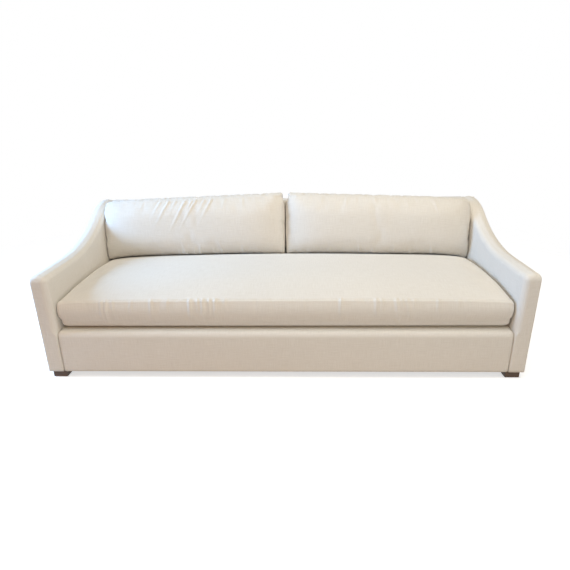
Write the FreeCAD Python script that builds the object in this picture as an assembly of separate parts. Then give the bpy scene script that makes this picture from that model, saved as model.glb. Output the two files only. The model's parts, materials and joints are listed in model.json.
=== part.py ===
import FreeCAD, Part
import math
import os

V = FreeCAD.Vector

# Slope arm sofa, in millimetres: X across, Y from front to back, Z up.
# The origin is on the floor, under the middle of the sofa. Left is -X, as seen from the front.

# Outside of the upholstered frame
overall_width = 2740.0
overall_depth = 1110.0
back_height = 838.0
foot_height = 42.0

# Slope arms: level in front, then a hollow sweep up and a round crest at the back
arm_thickness = 96.0
arm_front_height = 622.0
arm_sweep_radius = 1035.0
arm_crest_radius = 386.0
arm_crest_level = 27.0
arm_edge_radius = 16.0
arm_wood_width = 63.0
arm_top_foam = 20.0
arm_front_foam = 14.0
arm_post_depth = 55.0
arm_top_rail_depth = 50.0
arm_board_thickness = 3.0
tack_rail_height = 40.0
tack_rail_thickness = 25.0
tack_rail_below_deck = 12.0

# Cloth, sheets and clearances
cloth = 2.0
dust_cover_thickness = 1.0
gap = 0.3
trim_margin = 10.0

# Front rail and seat frame
rail_thickness = 28.0
rail_recess = 3.0
rail_foam = 18.0
rail_edge_radius = 30.0
rail_top_overlap = 14.0
side_rail_height = 110.0
back_rail_height = 120.0
cross_rail_height = 107.0
cross_rail_count = 3
rear_seat_rail_height = 158.0
rear_seat_rail_setback = 45.0
corner_block_leg = 70.0
corner_block_height = 80.0
corner_block_lift = 27.0
corner_screw_margin = 26.0

# Seat deck and springs
deck_height = 288.0
deck_pad_thickness = 22.0
deck_rear_tuck = 40.0
spring_wire = 3.8
spring_width = 46.0
spring_pitch_target = 27.0
spring_spacing_target = 150.0
clip_sheet = 1.5
clip_length = 14.0
clip_clearance = 0.2
tie_wire = 2.4
tie_wire_count = 3
tie_wire_end_margin = 30.0

# Back
back_base_thickness = 190.0
back_recline = 9.0
back_edge_radius = 26.0
back_wood_thickness = 30.0
back_top_foam = 20.0
back_top_rail_height = 60.0
back_lower_rail_height = 52.0
upright_width = 50.0
upright_count = 3
strap_width = 60.0
strap_thickness = 1.5
strap_spacing_target = 140.0
strap_end_margin = 12.0

# Feet and their hardware
foot_side = 80.0
foot_side_inset = 28.0
foot_end_inset = 8.0
foot_chamfer = 1.5
glide_height = 3.0
glide_diameter = 34.0
glide_pin_diameter = 3.0
glide_pin_length = 14.0
bolt_diameter = 8.0
bolt_foot_depth = 28.0
bolt_frame_depth = 52.0
bolt_clearance = 0.3
bolt_post_offset = 48.0
tee_flange_diameter = 24.0
tee_flange_thickness = 1.5
tee_barrel_diameter = 11.0
tee_barrel_length = 12.0

# Frame fasteners
dowel_diameter = 10.0
dowel_length = 50.0
dowel_clearance = 0.1
dowel_end_margin = 25.0
screw_shank = 4.5
screw_head = 9.0
screw_head_height = 4.0
screw_length = 44.0
screw_clearance = 0.2
screw_bite = 20.0

# Seat cushion: one bench cushion, crowned, with its sides drawn in
seat_front_setback = 30.0
seat_rear_clearance = 5.0
seat_side_clearance = 2.0
seat_edge_height = 170.0
seat_seam_rise = 12.0
seat_side_crown = 12.0
seat_crown_rise = 42.0
seat_shoulder_run = 145.0
seat_shoulder_share = 0.74
seat_front_bulge = 8.0
seat_bottom_seam = 32.0
seat_bottom_seam_draw = 6.0
seat_under_run = 46.0
seat_under_bow = 6.0
seat_corner_draw = 20.0
seat_corner_drop = 7.0
seat_stations = (-1.0, -0.96, -0.87, -0.7, -0.4, 0.0, 0.4, 0.7, 0.87, 0.96, 1.0)
corner_sharpness = 16

# Back cushions: crowned in front, flat where they lean on the back, drawn in at their sides
cushion_side_clearance = 3.0
cushion_middle_gap = 10.0
cushion_seat_clearance = 10.0
cushion_fullness = 176.0
cushion_foot_depth = 120.0
cushion_foot_rise = 50.0
cushion_top_inner = 905.0
cushion_top_outer = 862.0
cushion_top_depth = 125.0
cushion_top_fall = 6.0
cushion_top_round = 44.0
cushion_front_round = 50.0
cushion_front_bow = 25.0
cushion_foot_bow = 6.0
cushion_shoulder_lean = 0.33
cushion_zip_facet = 34.0
cushion_zip_clearance = 7.0
cushion_side_draw = 0.22
cushion_corner_drop = 14.0
cushion_stations = (-1.0, -0.9, -0.6, 0.0, 0.6, 0.9, 1.0)
cushion_sharpness = 6

# Zippers
zip_margin = 120.0
zip_tape_width = 12.0
zip_tape_thickness = 0.8
zip_chain_width = 4.5
zip_chain_height = 2.2
zip_slot = 3.0
zip_height = 84.0
slider_length = 14.0
slider_width = 10.0
slider_height = 5.0
slider_clearance = 0.3
pull_length = 30.0
pull_width = 7.0
pull_thickness = 1.6

# Planes and faces worked out from the sizes above
half_width = overall_width / 2
front_y = -overall_depth / 2
rear_y = overall_depth / 2
base_z = foot_height
wood_z = base_z + dust_cover_thickness
arm_inner_x = half_width - arm_thickness
arm_wood_outer_x = half_width - cloth - gap
arm_wood_inner_x = arm_wood_outer_x - arm_wood_width
arm_board_inner_x = arm_wood_inner_x - arm_board_thickness
wood_rear_y = rear_y - cloth - gap
wood_front_inset = cloth + arm_front_foam + 2 * gap
wood_top_inset = cloth + arm_top_foam + 2 * gap
post_front_y = front_y + wood_front_inset
post_back_y = post_front_y + arm_post_depth
back_post_front_y = wood_rear_y - arm_post_depth
arm_rise = back_height - arm_front_height
arm_angle = math.acos(1 - arm_rise / (arm_sweep_radius + arm_crest_radius))
arm_sweep_run = (arm_sweep_radius + arm_crest_radius) * math.sin(arm_angle)
crest_y = rear_y - arm_crest_level
sweep_y = crest_y - arm_sweep_run

rail_front_y = front_y + rail_recess + cloth + gap + rail_foam
rail_back_y = rail_front_y + rail_thickness
rail_cover_back_y = rail_back_y + rail_top_overlap
deck_pad_top = deck_height - cloth - gap
deck_pad_bottom = deck_pad_top - deck_pad_thickness
spring_z = deck_pad_bottom - gap - spring_wire / 2
seat_rail_top = spring_z - spring_wire / 2 - clip_clearance - clip_sheet
clip_top = spring_z + spring_wire / 2 + clip_clearance + clip_sheet

back_wood_front_y = wood_rear_y - back_wood_thickness
back_top_rail_top = back_height - cloth - back_top_foam - 2 * gap
back_top_rail_bottom = back_top_rail_top - back_top_rail_height
inside_back_y = rear_y - back_base_thickness
recline = math.radians(back_recline)
back_foot_z = deck_height + gap
rear_seat_rail_y = inside_back_y + rear_seat_rail_setback

seat_front_y = front_y + seat_front_setback
seat_rear_y = inside_back_y - seat_rear_clearance
seat_middle_y = (seat_front_y + seat_rear_y) / 2
seat_half_length = arm_inner_x - seat_side_clearance
seat_bottom_z = deck_height + gap
zip_z = deck_height + zip_height


def box(x0, x1, y0, y1, z0, z1):
    return Part.makeBox(x1 - x0, y1 - y0, z1 - z0, V(x0, y0, z0))


def rod(start, end, diameter):
    along = end - start
    return Part.makeCylinder(diameter / 2, along.Length, start, along)


def mirrored(shape):
    return shape.mirror(V(0, 0, 0), V(1, 0, 0))


def line(p, q):
    return Part.LineSegment(p, q).toShape()


def arc(p, middle, q):
    return Part.Arc(p, middle, q).toShape()


def prism(wire, x0, x1):
    # A closed outline in the YZ plane, carried across from x0 to x1
    face = Part.Face(wire)
    return face.extrude(V(x1 - x0, 0, 0)).translated(V(x0, 0, 0))


def rounded_wire(corners):
    # A closed outline through corners given as (point, radius), with a tangent arc where the radius isn't 0
    edges = []
    ends = []
    count = len(corners)
    for i in range(count):
        point, radius = corners[i]
        before = (corners[i - 1][0] - point).normalize()
        after = (corners[(i + 1) % count][0] - point).normalize()
        if radius == 0:
            ends.append((point, None, point))
            continue
        half = before.getAngle(after) / 2
        reach = radius / math.tan(half)
        bisector = (before + after).normalize()
        middle = point + bisector * (radius / math.sin(half) - radius)
        ends.append((point + before * reach, middle, point + after * reach))
    for i in range(count):
        start, middle, end = ends[i]
        if middle is not None:
            edges.append(arc(start, middle, end))
        edges.append(line(end, ends[(i + 1) % count][0]))
    return Part.Wire(edges)


def yz(y, z):
    return V(0, y, z)


def spread(count, low, high):
    # Middles of equal bays between two limits
    bay = (high - low) / count
    return [low + bay * (i + 0.5) for i in range(count)]


def inside_back_at(z):
    return inside_back_y + (z - deck_height) * math.tan(recline)


# Arms

def arm_outline(front_inset, top_inset, bottom, rear):
    # Side view of an arm, drawn in from its outside by the insets
    sweep_centre_z = arm_front_height + arm_sweep_radius
    crest_centre_z = back_height - arm_crest_radius
    hollow = arm_sweep_radius + top_inset
    crest = arm_crest_radius - top_inset
    front = front_y + front_inset

    def on_sweep(turn):
        return yz(sweep_y + hollow * math.sin(turn), sweep_centre_z - hollow * math.cos(turn))

    def on_crest(turn):
        return yz(crest_y - crest * math.sin(turn), crest_centre_z + crest * math.cos(turn))

    level = yz(front, arm_front_height - top_inset)
    end_turn = 0.0
    if rear < crest_y:
        end_turn = math.asin((crest_y - rear) / crest)
    edges = [
        line(yz(front, bottom), level),
        line(level, on_sweep(0)),
        arc(on_sweep(0), on_sweep(arm_angle / 2), on_sweep(arm_angle)),
        arc(on_crest(arm_angle), on_crest((arm_angle + end_turn) / 2), on_crest(end_turn)),
    ]
    top_rear = on_crest(end_turn)
    if rear > crest_y:
        top_rear = yz(rear, back_height - top_inset)
        edges.append(line(on_crest(0), top_rear))
    edges.append(line(top_rear, yz(rear, bottom)))
    edges.append(line(yz(rear, bottom), yz(front, bottom)))
    return Part.Wire(edges)


def soft_arm(inset, bottom, rear):
    # The left arm's padded form, drawn in on every side, with its long edges rounded
    low_x = -half_width + inset
    high_x = -arm_inner_x - inset
    block = prism(arm_outline(inset, inset, bottom, rear), low_x, high_x)
    radius = arm_edge_radius - inset
    near = gap / 2
    picked = []
    for edge in block.Edges:
        limits = edge.BoundBox
        on_side = limits.XLength < near
        at_bottom = limits.ZMax < bottom + near
        at_rear = limits.YMin > rear - near
        top_front = limits.YMax < front_y + inset + near and limits.ZMin > bottom + near
        if on_side and not at_bottom and not at_rear:
            picked.append(edge)
        if top_front and not on_side:
            picked.append(edge)
    return block.makeFillet(radius, picked)


def below_deck():
    # Room under the deck and through the back, where rails pass the inside of the left arm
    seat = box(-arm_wood_inner_x, 0, rail_front_y - gap, rear_y + trim_margin, 0, seat_rail_top + gap)
    back = box(-arm_wood_inner_x, 0, back_wood_front_y - gap, rear_y + trim_margin, 0, back_top_rail_top + gap)
    return seat.fuse(back)


def arm_cover():
    # Sewn cover over the inside, top and front of the left arm
    outer = soft_arm(0, base_z, rear_y)
    cavity = soft_arm(cloth, base_z - trim_margin, rear_y + trim_margin)
    cover = outer.cut(cavity)
    panel_room = prism(
        arm_outline(arm_edge_radius, arm_edge_radius, base_z - trim_margin, rear_y + trim_margin),
        -half_width - trim_margin, -half_width + cloth)
    rear_room = box(-half_width, -arm_inner_x, rear_y - cloth - gap, rear_y, 0, back_height - cloth)
    return cover.cut(panel_room).cut(below_deck()).cut(rear_room)


def outside_arm_panel():
    inset = arm_edge_radius + gap
    outline = arm_outline(inset, inset, base_z, rear_y - cloth - gap)
    return prism(outline, -half_width, -half_width + cloth)


def arm_pad():
    # Foam over the top, front and inside of the left arm's wood
    outer = soft_arm(cloth + gap, wood_z, wood_rear_y)
    outline = arm_outline(wood_front_inset - gap, wood_top_inset - gap, 0, rear_y)
    wood_room = prism(outline, -half_width, -arm_board_inner_x + gap)
    return outer.cut(wood_room).cut(below_deck())


def arm_inner_board():
    outline = arm_outline(wood_front_inset, wood_top_inset, seat_rail_top + gap, back_wood_front_y - gap)
    return prism(outline, -arm_wood_inner_x, -arm_board_inner_x)


def arm_wood():
    # The left arm's wooden ring, sawn into front post, back post, side rail and swept top rail
    outline = arm_outline(wood_front_inset, wood_top_inset, wood_z, wood_rear_y)
    opening = arm_outline(
        wood_front_inset + arm_post_depth,
        wood_top_inset + arm_top_rail_depth,
        wood_z + side_rail_height,
        back_post_front_y)
    ring = prism(outline, -arm_wood_outer_x, -arm_wood_inner_x)
    ring = ring.cut(prism(opening, -half_width, 0))
    front_room = box(-half_width, 0, front_y, post_back_y, 0, front_post_top())
    back_room = box(-half_width, 0, back_post_front_y, rear_y, 0, back_post_top())
    side_room = box(-half_width, 0, post_back_y, back_post_front_y, 0, wood_z + side_rail_height)
    return {
        "arm_front_post": ring.common(front_room),
        "back_post": ring.common(back_room),
        "side_rail": ring.common(side_room),
        "arm_top_rail": ring.cut(front_room).cut(back_room).cut(side_room),
    }


def front_post_top():
    return arm_front_height - wood_top_inset - arm_top_rail_depth


def back_post_top():
    return back_height - wood_top_inset - arm_top_rail_depth


def arm_tack_rail():
    low = seat_rail_top - tack_rail_below_deck
    return box(
        -arm_wood_inner_x - tack_rail_thickness, -arm_wood_inner_x,
        post_back_y, back_post_front_y,
        low, low + tack_rail_height)


# Seat frame

def front_rail():
    return box(-arm_wood_inner_x, arm_wood_inner_x, rail_front_y, rail_back_y, wood_z, seat_rail_top)


def rear_seat_rail():
    return box(
        -arm_wood_inner_x, arm_wood_inner_x,
        rear_seat_rail_y, rear_seat_rail_y + rail_thickness,
        seat_rail_top - rear_seat_rail_height, seat_rail_top)


def back_rail():
    return box(
        -arm_wood_inner_x, arm_wood_inner_x,
        back_wood_front_y, wood_rear_y,
        wood_z, wood_z + back_rail_height)


def cross_rail_places():
    return spread(cross_rail_count, -arm_wood_inner_x, arm_wood_inner_x)


def cross_rails():
    rails = []
    for x in cross_rail_places():
        rails.append(box(
            x - rail_thickness / 2, x + rail_thickness / 2,
            rail_back_y, rear_seat_rail_y,
            wood_z, wood_z + cross_rail_height))
    return rails


def corner_block_places():
    # Inner corners of the seat frame, each with the directions of its two legs
    places = []
    for side in (-1, 1):
        x = side * arm_wood_inner_x
        places.append((V(x, rail_back_y, wood_z + corner_block_lift), -side, 1))
        places.append((V(x, back_wood_front_y, wood_z + corner_block_lift), -side, -1))
    return places


def corner_blocks():
    blocks = []
    for corner, along_x, along_y in corner_block_places():
        leg_x = corner + V(along_x * corner_block_leg, 0, 0)
        leg_y = corner + V(0, along_y * corner_block_leg, 0)
        outline = Part.Wire([line(corner, leg_x), line(leg_x, leg_y), line(leg_y, corner)])
        blocks.append(Part.Face(outline).extrude(V(0, 0, corner_block_height)))
    return blocks


def front_rail_pad():
    inset = cloth + gap
    front = front_y + rail_recess + inset
    top = deck_pad_top
    corners = [
        (yz(front, wood_z), 0),
        (yz(front, top), rail_edge_radius - inset),
        (yz(rail_back_y, top), 0),
        (yz(rail_back_y, clip_top + gap), 0),
        (yz(rail_front_y, clip_top + gap), 0),
        (yz(rail_front_y, wood_z), 0),
    ]
    return prism(rounded_wire(corners), -arm_inner_x + gap, arm_inner_x - gap)


def front_rail_cover():
    front = front_y + rail_recess
    corners = [
        (yz(front, base_z), 0),
        (yz(front, deck_height), rail_edge_radius),
        (yz(rail_cover_back_y, deck_height), 0),
        (yz(rail_cover_back_y, deck_height - cloth), 0),
        (yz(front + cloth, deck_height - cloth), rail_edge_radius - cloth),
        (yz(front + cloth, base_z), 0),
    ]
    return prism(rounded_wire(corners), -arm_inner_x + gap, arm_inner_x - gap)


def dust_cover():
    sheet = box(
        -half_width + cloth + gap, half_width - cloth - gap,
        rail_front_y, wood_rear_y,
        base_z, wood_z)
    for place in bolt_places():
        start = place + V(0, 0, base_z - trim_margin)
        end = place + V(0, 0, wood_z + trim_margin)
        sheet = sheet.cut(rod(start, end, bolt_diameter + 2 * bolt_clearance))
    return sheet


# Springs and deck

def spring_places():
    count = round(2 * arm_inner_x / spring_spacing_target)
    return spread(count, -arm_inner_x, arm_inner_x)


def spring_ends():
    return rail_front_y + rail_thickness / 2, rear_seat_rail_y + rail_thickness / 2


def seat_spring():
    # One sinuous wire: straight bars across, joined by half turns at alternate sides
    start, end = spring_ends()
    turns = round((end - start) / spring_pitch_target)
    pitch = (end - start) / turns
    bar = spring_width / 2 - pitch / 2
    edges = []
    for i in range(turns + 1):
        side = 1 if i % 2 == 0 else -1
        y = start + i * pitch
        edges.append(line(V(-side * bar, y, spring_z), V(side * bar, y, spring_z)))
        if i < turns:
            edges.append(arc(
                V(side * bar, y, spring_z),
                V(side * (bar + pitch / 2), y + pitch / 2, spring_z),
                V(side * bar, y + pitch, spring_z)))
    section = Part.Wire([Part.Circle(V(-bar, start, spring_z), V(1, 0, 0), spring_wire / 2).toShape()])
    return Part.Wire(edges).makePipeShell([section], True, False)


def seat_springs():
    spring = seat_spring()
    return [spring.translated(V(x, 0, 0)) for x in spring_places()]


def spring_clip(opening):
    # A folded steel clip on a rail's top, open towards the seat: opening is 1 in front and -1 at the back
    room = spring_wire / 2 + clip_clearance
    reach = spring_wire
    outer = box(
        -clip_length / 2, clip_length / 2,
        -room - clip_sheet, reach,
        seat_rail_top, clip_top)
    inner = box(
        -clip_length, clip_length,
        -room, reach + trim_margin,
        seat_rail_top + clip_sheet, clip_top - clip_sheet)
    clip = outer.cut(inner)
    if opening < 0:
        clip = clip.mirror(V(0, 0, 0), V(0, 1, 0))
    return clip


def spring_clips():
    clips = []
    for opening, y in zip((1, -1), spring_ends()):
        clip = spring_clip(opening)
        for x in spring_places():
            clips.append(clip.translated(V(x, y, 0)))
    return clips


def spring_tie_wires():
    start, end = spring_ends()
    z = spring_z - spring_wire / 2 - gap - tie_wire / 2
    reach = arm_inner_x - tie_wire_end_margin
    wires = []
    for y in spread(tie_wire_count, start, end):
        wires.append(rod(V(-reach, y, z), V(reach, y, z), tie_wire))
    return wires


def deck_pad():
    return box(
        -arm_inner_x + gap, arm_inner_x - gap,
        rail_back_y + gap, inside_back_y + deck_rear_tuck,
        deck_pad_bottom, deck_pad_top)


def deck_cloth():
    return box(
        -arm_inner_x + gap, arm_inner_x - gap,
        rail_cover_back_y, inside_back_y + deck_rear_tuck,
        deck_height - cloth, deck_height)


# Back

def back_top_rail():
    return box(
        -arm_wood_inner_x, arm_wood_inner_x,
        back_wood_front_y, wood_rear_y,
        back_top_rail_bottom, back_top_rail_top)


def upright_places():
    return spread(upright_count, -arm_wood_inner_x, arm_wood_inner_x)


def back_lower_rail():
    # Half lapped in front of the uprights
    rail = box(
        -arm_wood_inner_x, arm_wood_inner_x,
        back_wood_front_y, wood_rear_y,
        back_foot_z, back_foot_z + back_lower_rail_height)
    lap_y = (back_wood_front_y + wood_rear_y) / 2
    for x in upright_places():
        lap = box(
            x - upright_width / 2, x + upright_width / 2,
            lap_y, wood_rear_y,
            back_foot_z, back_foot_z + back_lower_rail_height)
        rail = rail.cut(lap)
    return rail


def back_uprights():
    uprights = []
    lap_y = (back_wood_front_y + wood_rear_y) / 2
    for x in upright_places():
        post = box(
            x - upright_width / 2, x + upright_width / 2,
            back_wood_front_y, wood_rear_y,
            wood_z + back_rail_height, back_top_rail_bottom)
        lap = box(
            x - upright_width / 2, x + upright_width / 2,
            back_wood_front_y, lap_y,
            back_foot_z, back_foot_z + back_lower_rail_height)
        uprights.append(post.cut(lap))
    return uprights


def back_webbing():
    count = round(2 * arm_inner_x / strap_spacing_target)
    straps = []
    for x in spread(count, -arm_inner_x, arm_inner_x):
        straps.append(box(
            x - strap_width / 2, x + strap_width / 2,
            back_wood_front_y - strap_thickness, back_wood_front_y,
            back_foot_z + strap_end_margin, back_top_rail_top - strap_end_margin))
    return straps


def back_pad():
    # Foam wedge in front of the webbing and over the top rail
    inset = cloth + gap
    slant = inset / math.cos(recline)
    top = back_height - inset
    rear = back_wood_front_y - strap_thickness - gap
    corners = [
        (yz(inside_back_at(back_foot_z) + slant, back_foot_z), 0),
        (yz(inside_back_at(top) + slant, top), back_edge_radius - inset),
        (yz(wood_rear_y, top), 0),
        (yz(wood_rear_y, back_top_rail_top + gap), 0),
        (yz(rear, back_top_rail_top + gap), 0),
        (yz(rear, back_foot_z), 0),
    ]
    return prism(rounded_wire(corners), -arm_inner_x + gap, arm_inner_x - gap)


def back_cover():
    slant = cloth / math.cos(recline)
    low = back_height - cloth
    corners = [
        (yz(inside_back_at(back_foot_z), back_foot_z), 0),
        (yz(inside_back_at(back_height), back_height), back_edge_radius),
        (yz(rear_y, back_height), 0),
        (yz(rear_y, low), 0),
        (yz(inside_back_at(low) + slant, low), back_edge_radius - cloth),
        (yz(inside_back_at(back_foot_z) + slant, back_foot_z), 0),
    ]
    return prism(rounded_wire(corners), -arm_inner_x + gap, arm_inner_x - gap)


def outside_back_panel():
    top = back_height - cloth - gap
    radius = arm_edge_radius
    y = rear_y - cloth
    corners = [
        (V(-half_width, y, base_z), 0),
        (V(-half_width, y, top), radius),
        (V(half_width, y, top), radius),
        (V(half_width, y, base_z), 0),
    ]
    return Part.Face(rounded_wire(corners)).extrude(V(0, cloth, 0))


# Feet

def foot_centres():
    x = half_width - foot_side_inset - foot_side / 2
    y = overall_depth / 2 - foot_end_inset - foot_side / 2
    return {
        "front_left": V(-x, -y, 0),
        "front_right": V(x, -y, 0),
        "back_left": V(-x, y, 0),
        "back_right": V(x, y, 0),
    }


def bolt_places():
    x = half_width - bolt_post_offset
    front = post_front_y + arm_post_depth / 2
    back = wood_rear_y - arm_post_depth / 2
    return [V(-x, front, 0), V(x, front, 0), V(-x, back, 0), V(x, back, 0)]


def foot_bolt(place, clearance):
    start = place + V(0, 0, base_z - bolt_foot_depth - clearance)
    end = place + V(0, 0, wood_z + bolt_frame_depth + clearance)
    return rod(start, end, bolt_diameter + 2 * clearance)


def tee_nut(place, clearance):
    bottom = place + V(0, 0, wood_z)
    flange_top = bottom + V(0, 0, tee_flange_thickness + clearance)
    barrel_top = bottom + V(0, 0, tee_barrel_length + clearance)
    flange = rod(bottom, flange_top, tee_flange_diameter + 2 * clearance)
    barrel = rod(bottom, barrel_top, tee_barrel_diameter + 2 * clearance)
    return flange.fuse(barrel).removeSplitter()


def foot(centre):
    half = foot_side / 2
    block = box(
        centre.x - half, centre.x + half,
        centre.y - half, centre.y + half,
        glide_height, base_z)
    low = [e for e in block.Edges if e.BoundBox.ZMax < base_z - gap and e.BoundBox.ZLength < gap]
    block = block.makeChamfer(foot_chamfer, low)
    for place in bolt_places():
        block = block.cut(foot_bolt(place, bolt_clearance))
    return block.cut(glide(centre, bolt_clearance))


def glide(centre, clearance):
    bottom = centre
    pin_end = bottom + V(0, 0, glide_height + glide_pin_length + clearance)
    disc = rod(bottom, bottom + V(0, 0, glide_height), glide_diameter)
    pin = rod(bottom, pin_end, glide_pin_diameter + 2 * clearance)
    return disc.fuse(pin).removeSplitter()


# Dowels and screws

def dowel_axes():
    # Middle point and direction of each dowel in the joints between frame pieces
    axes = []
    along_x = V(1, 0, 0)
    along_y = V(0, 1, 0)
    along_z = V(0, 0, 1)
    rail_y = rail_front_y + rail_thickness / 2
    back_y = (back_wood_front_y + wood_rear_y) / 2
    post_x = (arm_wood_outer_x + arm_wood_inner_x) / 2
    low = wood_z + dowel_end_margin
    side_mid_z = wood_z + side_rail_height / 2
    seat_rail_mid_y = rear_seat_rail_y + rail_thickness / 2
    seat_rail_low = seat_rail_top - rear_seat_rail_height
    for side in (-1, 1):
        x = side * arm_wood_inner_x
        axes.append((V(x, rail_y, low + bolt_frame_depth), along_x))
        axes.append((V(x, rail_y, seat_rail_top - dowel_end_margin), along_x))
        axes.append((V(x, back_y, low), along_x))
        axes.append((V(x, back_y, wood_z + back_rail_height - dowel_end_margin), along_x))
        axes.append((V(x, back_y, back_top_rail_top - dowel_end_margin), along_x))
        axes.append((V(x, back_y, back_foot_z + back_lower_rail_height / 2), along_x))
        axes.append((V(x, seat_rail_mid_y, (seat_rail_low + wood_z + side_rail_height) / 2), along_x))
        middle_x = side * post_x
        axes.append((V(middle_x, (post_front_y + post_back_y) / 2, front_post_top()), along_z))
        axes.append((V(middle_x, (back_post_front_y + wood_rear_y) / 2, back_post_top()), along_z))
        axes.append((V(middle_x, post_back_y, side_mid_z), along_y))
        axes.append((V(middle_x, back_post_front_y, side_mid_z), along_y))
    for x in cross_rail_places():
        axes.append((V(x, rail_back_y, wood_z + cross_rail_height / 2), along_y))
        axes.append((V(x, rear_seat_rail_y, (seat_rail_low + wood_z + cross_rail_height) / 2), along_y))
    return axes


def dowels(clearance):
    pins = []
    for middle, along in dowel_axes():
        reach = along * (dowel_length / 2 + clearance)
        pins.append(rod(middle - reach, middle + reach, dowel_diameter + 2 * clearance))
    return pins


def screw_axes():
    # Head point and driving direction of the two screws in each corner block
    axes = []
    offset = corner_block_leg / 2
    start = screw_length - screw_bite
    for corner, along_x, along_y in corner_block_places():
        low = corner + V(0, 0, corner_screw_margin)
        high = corner + V(0, 0, corner_block_height - corner_screw_margin)
        axes.append((low + V(along_x * offset, along_y * start, 0), V(0, -along_y, 0)))
        axes.append((high + V(along_x * start, along_y * offset, 0), V(-along_x, 0, 0)))
    return axes


def screws():
    return [
        rod(head, head + along * screw_length, screw_shank).fuse(
            rod(head, head + along * screw_head_height, screw_head)).removeSplitter()
        for head, along in screw_axes()
    ]


def screw_holes():
    holes = []
    for head, along in screw_axes():
        tip = head + along * (screw_length + screw_clearance)
        mouth = head - along * corner_block_leg
        seat = head + along * (screw_head_height + screw_clearance)
        holes.append(rod(head, tip, screw_shank + 2 * screw_clearance))
        holes.append(rod(mouth, seat, screw_head + 2 * screw_clearance))
    return holes


def drilled(shape):
    # A wooden piece with the holes for every dowel, screw, bolt and tee nut that reaches it
    holes = dowels(dowel_clearance) + screw_holes()
    for place in bolt_places():
        holes.append(foot_bolt(place, bolt_clearance))
        holes.append(tee_nut(place, 0))
    for hole in holes:
        if hole.BoundBox.intersect(shape.BoundBox):
            shape = shape.cut(hole)
    return shape


# Soft forms

def tangent_arc(p, tangent, q):
    # An arc that leaves p along the tangent and ends at q: its middle point and its direction at q
    chord = q - p
    along = V(chord).normalize()
    lean = tangent - along * tangent.dot(along)
    turn = tangent.getAngle(along)
    middle = (p + q) / 2 + lean.normalize() * (chord.Length / 2 * math.tan(turn / 2))
    return middle, along * (2 * tangent.dot(along)) - tangent


def bowed(p, q, bow, inside):
    # An arc from p to q that swells by bow, away from a point inside
    chord = V(q - p).normalize()
    middle = (p + q) / 2
    out = middle - inside
    out = (out - chord * out.dot(chord)).normalize()
    return arc(p, middle + out * bow, q)


def seat_section(x, inset):
    # The seat cushion cut across its depth at x, drawn in by inset
    share = x / seat_half_length
    fullness = 1 - share ** 2
    corner = abs(share) ** corner_sharpness
    front = seat_front_y + seat_corner_draw * corner + inset
    rear = seat_rear_y - inset
    low = seat_bottom_z + inset
    seam = deck_height + seat_edge_height + seat_seam_rise * fullness - seat_corner_drop * corner - inset
    crown = seat_side_crown + seat_crown_rise * fullness
    shoulder = seam + crown * seat_shoulder_share
    top = V(x, seat_middle_y, seam + crown)
    front_shoulder = V(x, front + seat_shoulder_run, shoulder)
    rear_shoulder = V(x, rear - seat_shoulder_run, shoulder)
    front_seam = V(x, front, seam)
    rear_seam = V(x, rear, seam)
    under_seam = V(x, front + seat_bottom_seam_draw, deck_height + seat_bottom_seam)
    under = V(x, front + seat_under_run, low)
    rear_low = V(x, rear, low)
    inside = V(x, seat_middle_y, (low + seam) / 2)
    front_top_middle, direction = tangent_arc(top, V(0, -1, 0), front_shoulder)
    front_middle, direction = tangent_arc(front_shoulder, direction, front_seam)
    rear_top_middle, direction = tangent_arc(top, V(0, 1, 0), rear_shoulder)
    rear_middle, direction = tangent_arc(rear_shoulder, direction, rear_seam)
    return Part.Wire([
        arc(top, front_top_middle, front_shoulder),
        arc(front_shoulder, front_middle, front_seam),
        bowed(front_seam, under_seam, seat_front_bulge, inside),
        bowed(under_seam, under, seat_under_bow, inside),
        line(under, rear_low),
        line(rear_low, rear_seam),
        arc(rear_seam, rear_middle, rear_shoulder),
        arc(rear_shoulder, rear_top_middle, top),
    ])


def seat_body(inset):
    reach = seat_half_length - inset
    return Part.makeLoft([seat_section(share * reach, inset) for share in seat_stations], True, False)


def seat_top_at(x, y):
    # Height of the seat cushion's top at a place
    edges = seat_section(x, 0).Edges
    upright = line(V(x, y, seat_bottom_z + gap), V(x, y, back_height))
    heights = [edge.distToShape(upright)[1][0][0].z for edge in edges if edge.distToShape(upright)[0] < gap]
    return max(heights)


def seat_cushion_cover():
    cover = seat_body(0).cut(seat_body(cloth))
    reach = zip_half_length(seat_half_length)
    slot = box(
        -reach, reach,
        seat_rear_y - trim_margin, seat_rear_y + trim_margin,
        zip_z - zip_slot / 2, zip_z + zip_slot / 2)
    return cover.cut(slot)


def seat_cushion_core():
    return seat_body(cloth + gap)


def back_point(x, depth, rise):
    # A place in front of the inside back: depth out from its face, rise up along it from the deck
    y = inside_back_y + rise * math.sin(recline) - depth * math.cos(recline)
    z = deck_height + rise * math.cos(recline) + depth * math.sin(recline)
    return V(x, y, z)


def rise_at(z, depth):
    return (z - deck_height - depth * math.sin(recline)) / math.cos(recline)


def cushion_inner_x():
    return cushion_middle_gap / 2


def cushion_outer_x():
    return arm_inner_x - cushion_side_clearance


def seat_under_cushion(x):
    # Height of the seat cushion's top below the front edge of a back cushion's underside
    y = back_point(x, cushion_foot_depth, rise_at(deck_height + seat_edge_height, cushion_foot_depth)).y
    return seat_top_at(x, y)


def foot_rise(x):
    # The back cushion's underside runs straight, and touches the crowned seat cushion halfway along
    middle = (cushion_inner_x() + cushion_outer_x()) / 2
    quarter = (cushion_outer_x() - cushion_inner_x()) / 4
    slope = (seat_under_cushion(middle + quarter) - seat_under_cushion(middle - quarter)) / (2 * quarter)
    z = seat_under_cushion(middle) + slope * (x - middle) + cushion_seat_clearance
    return rise_at(z, cushion_foot_depth)


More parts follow.
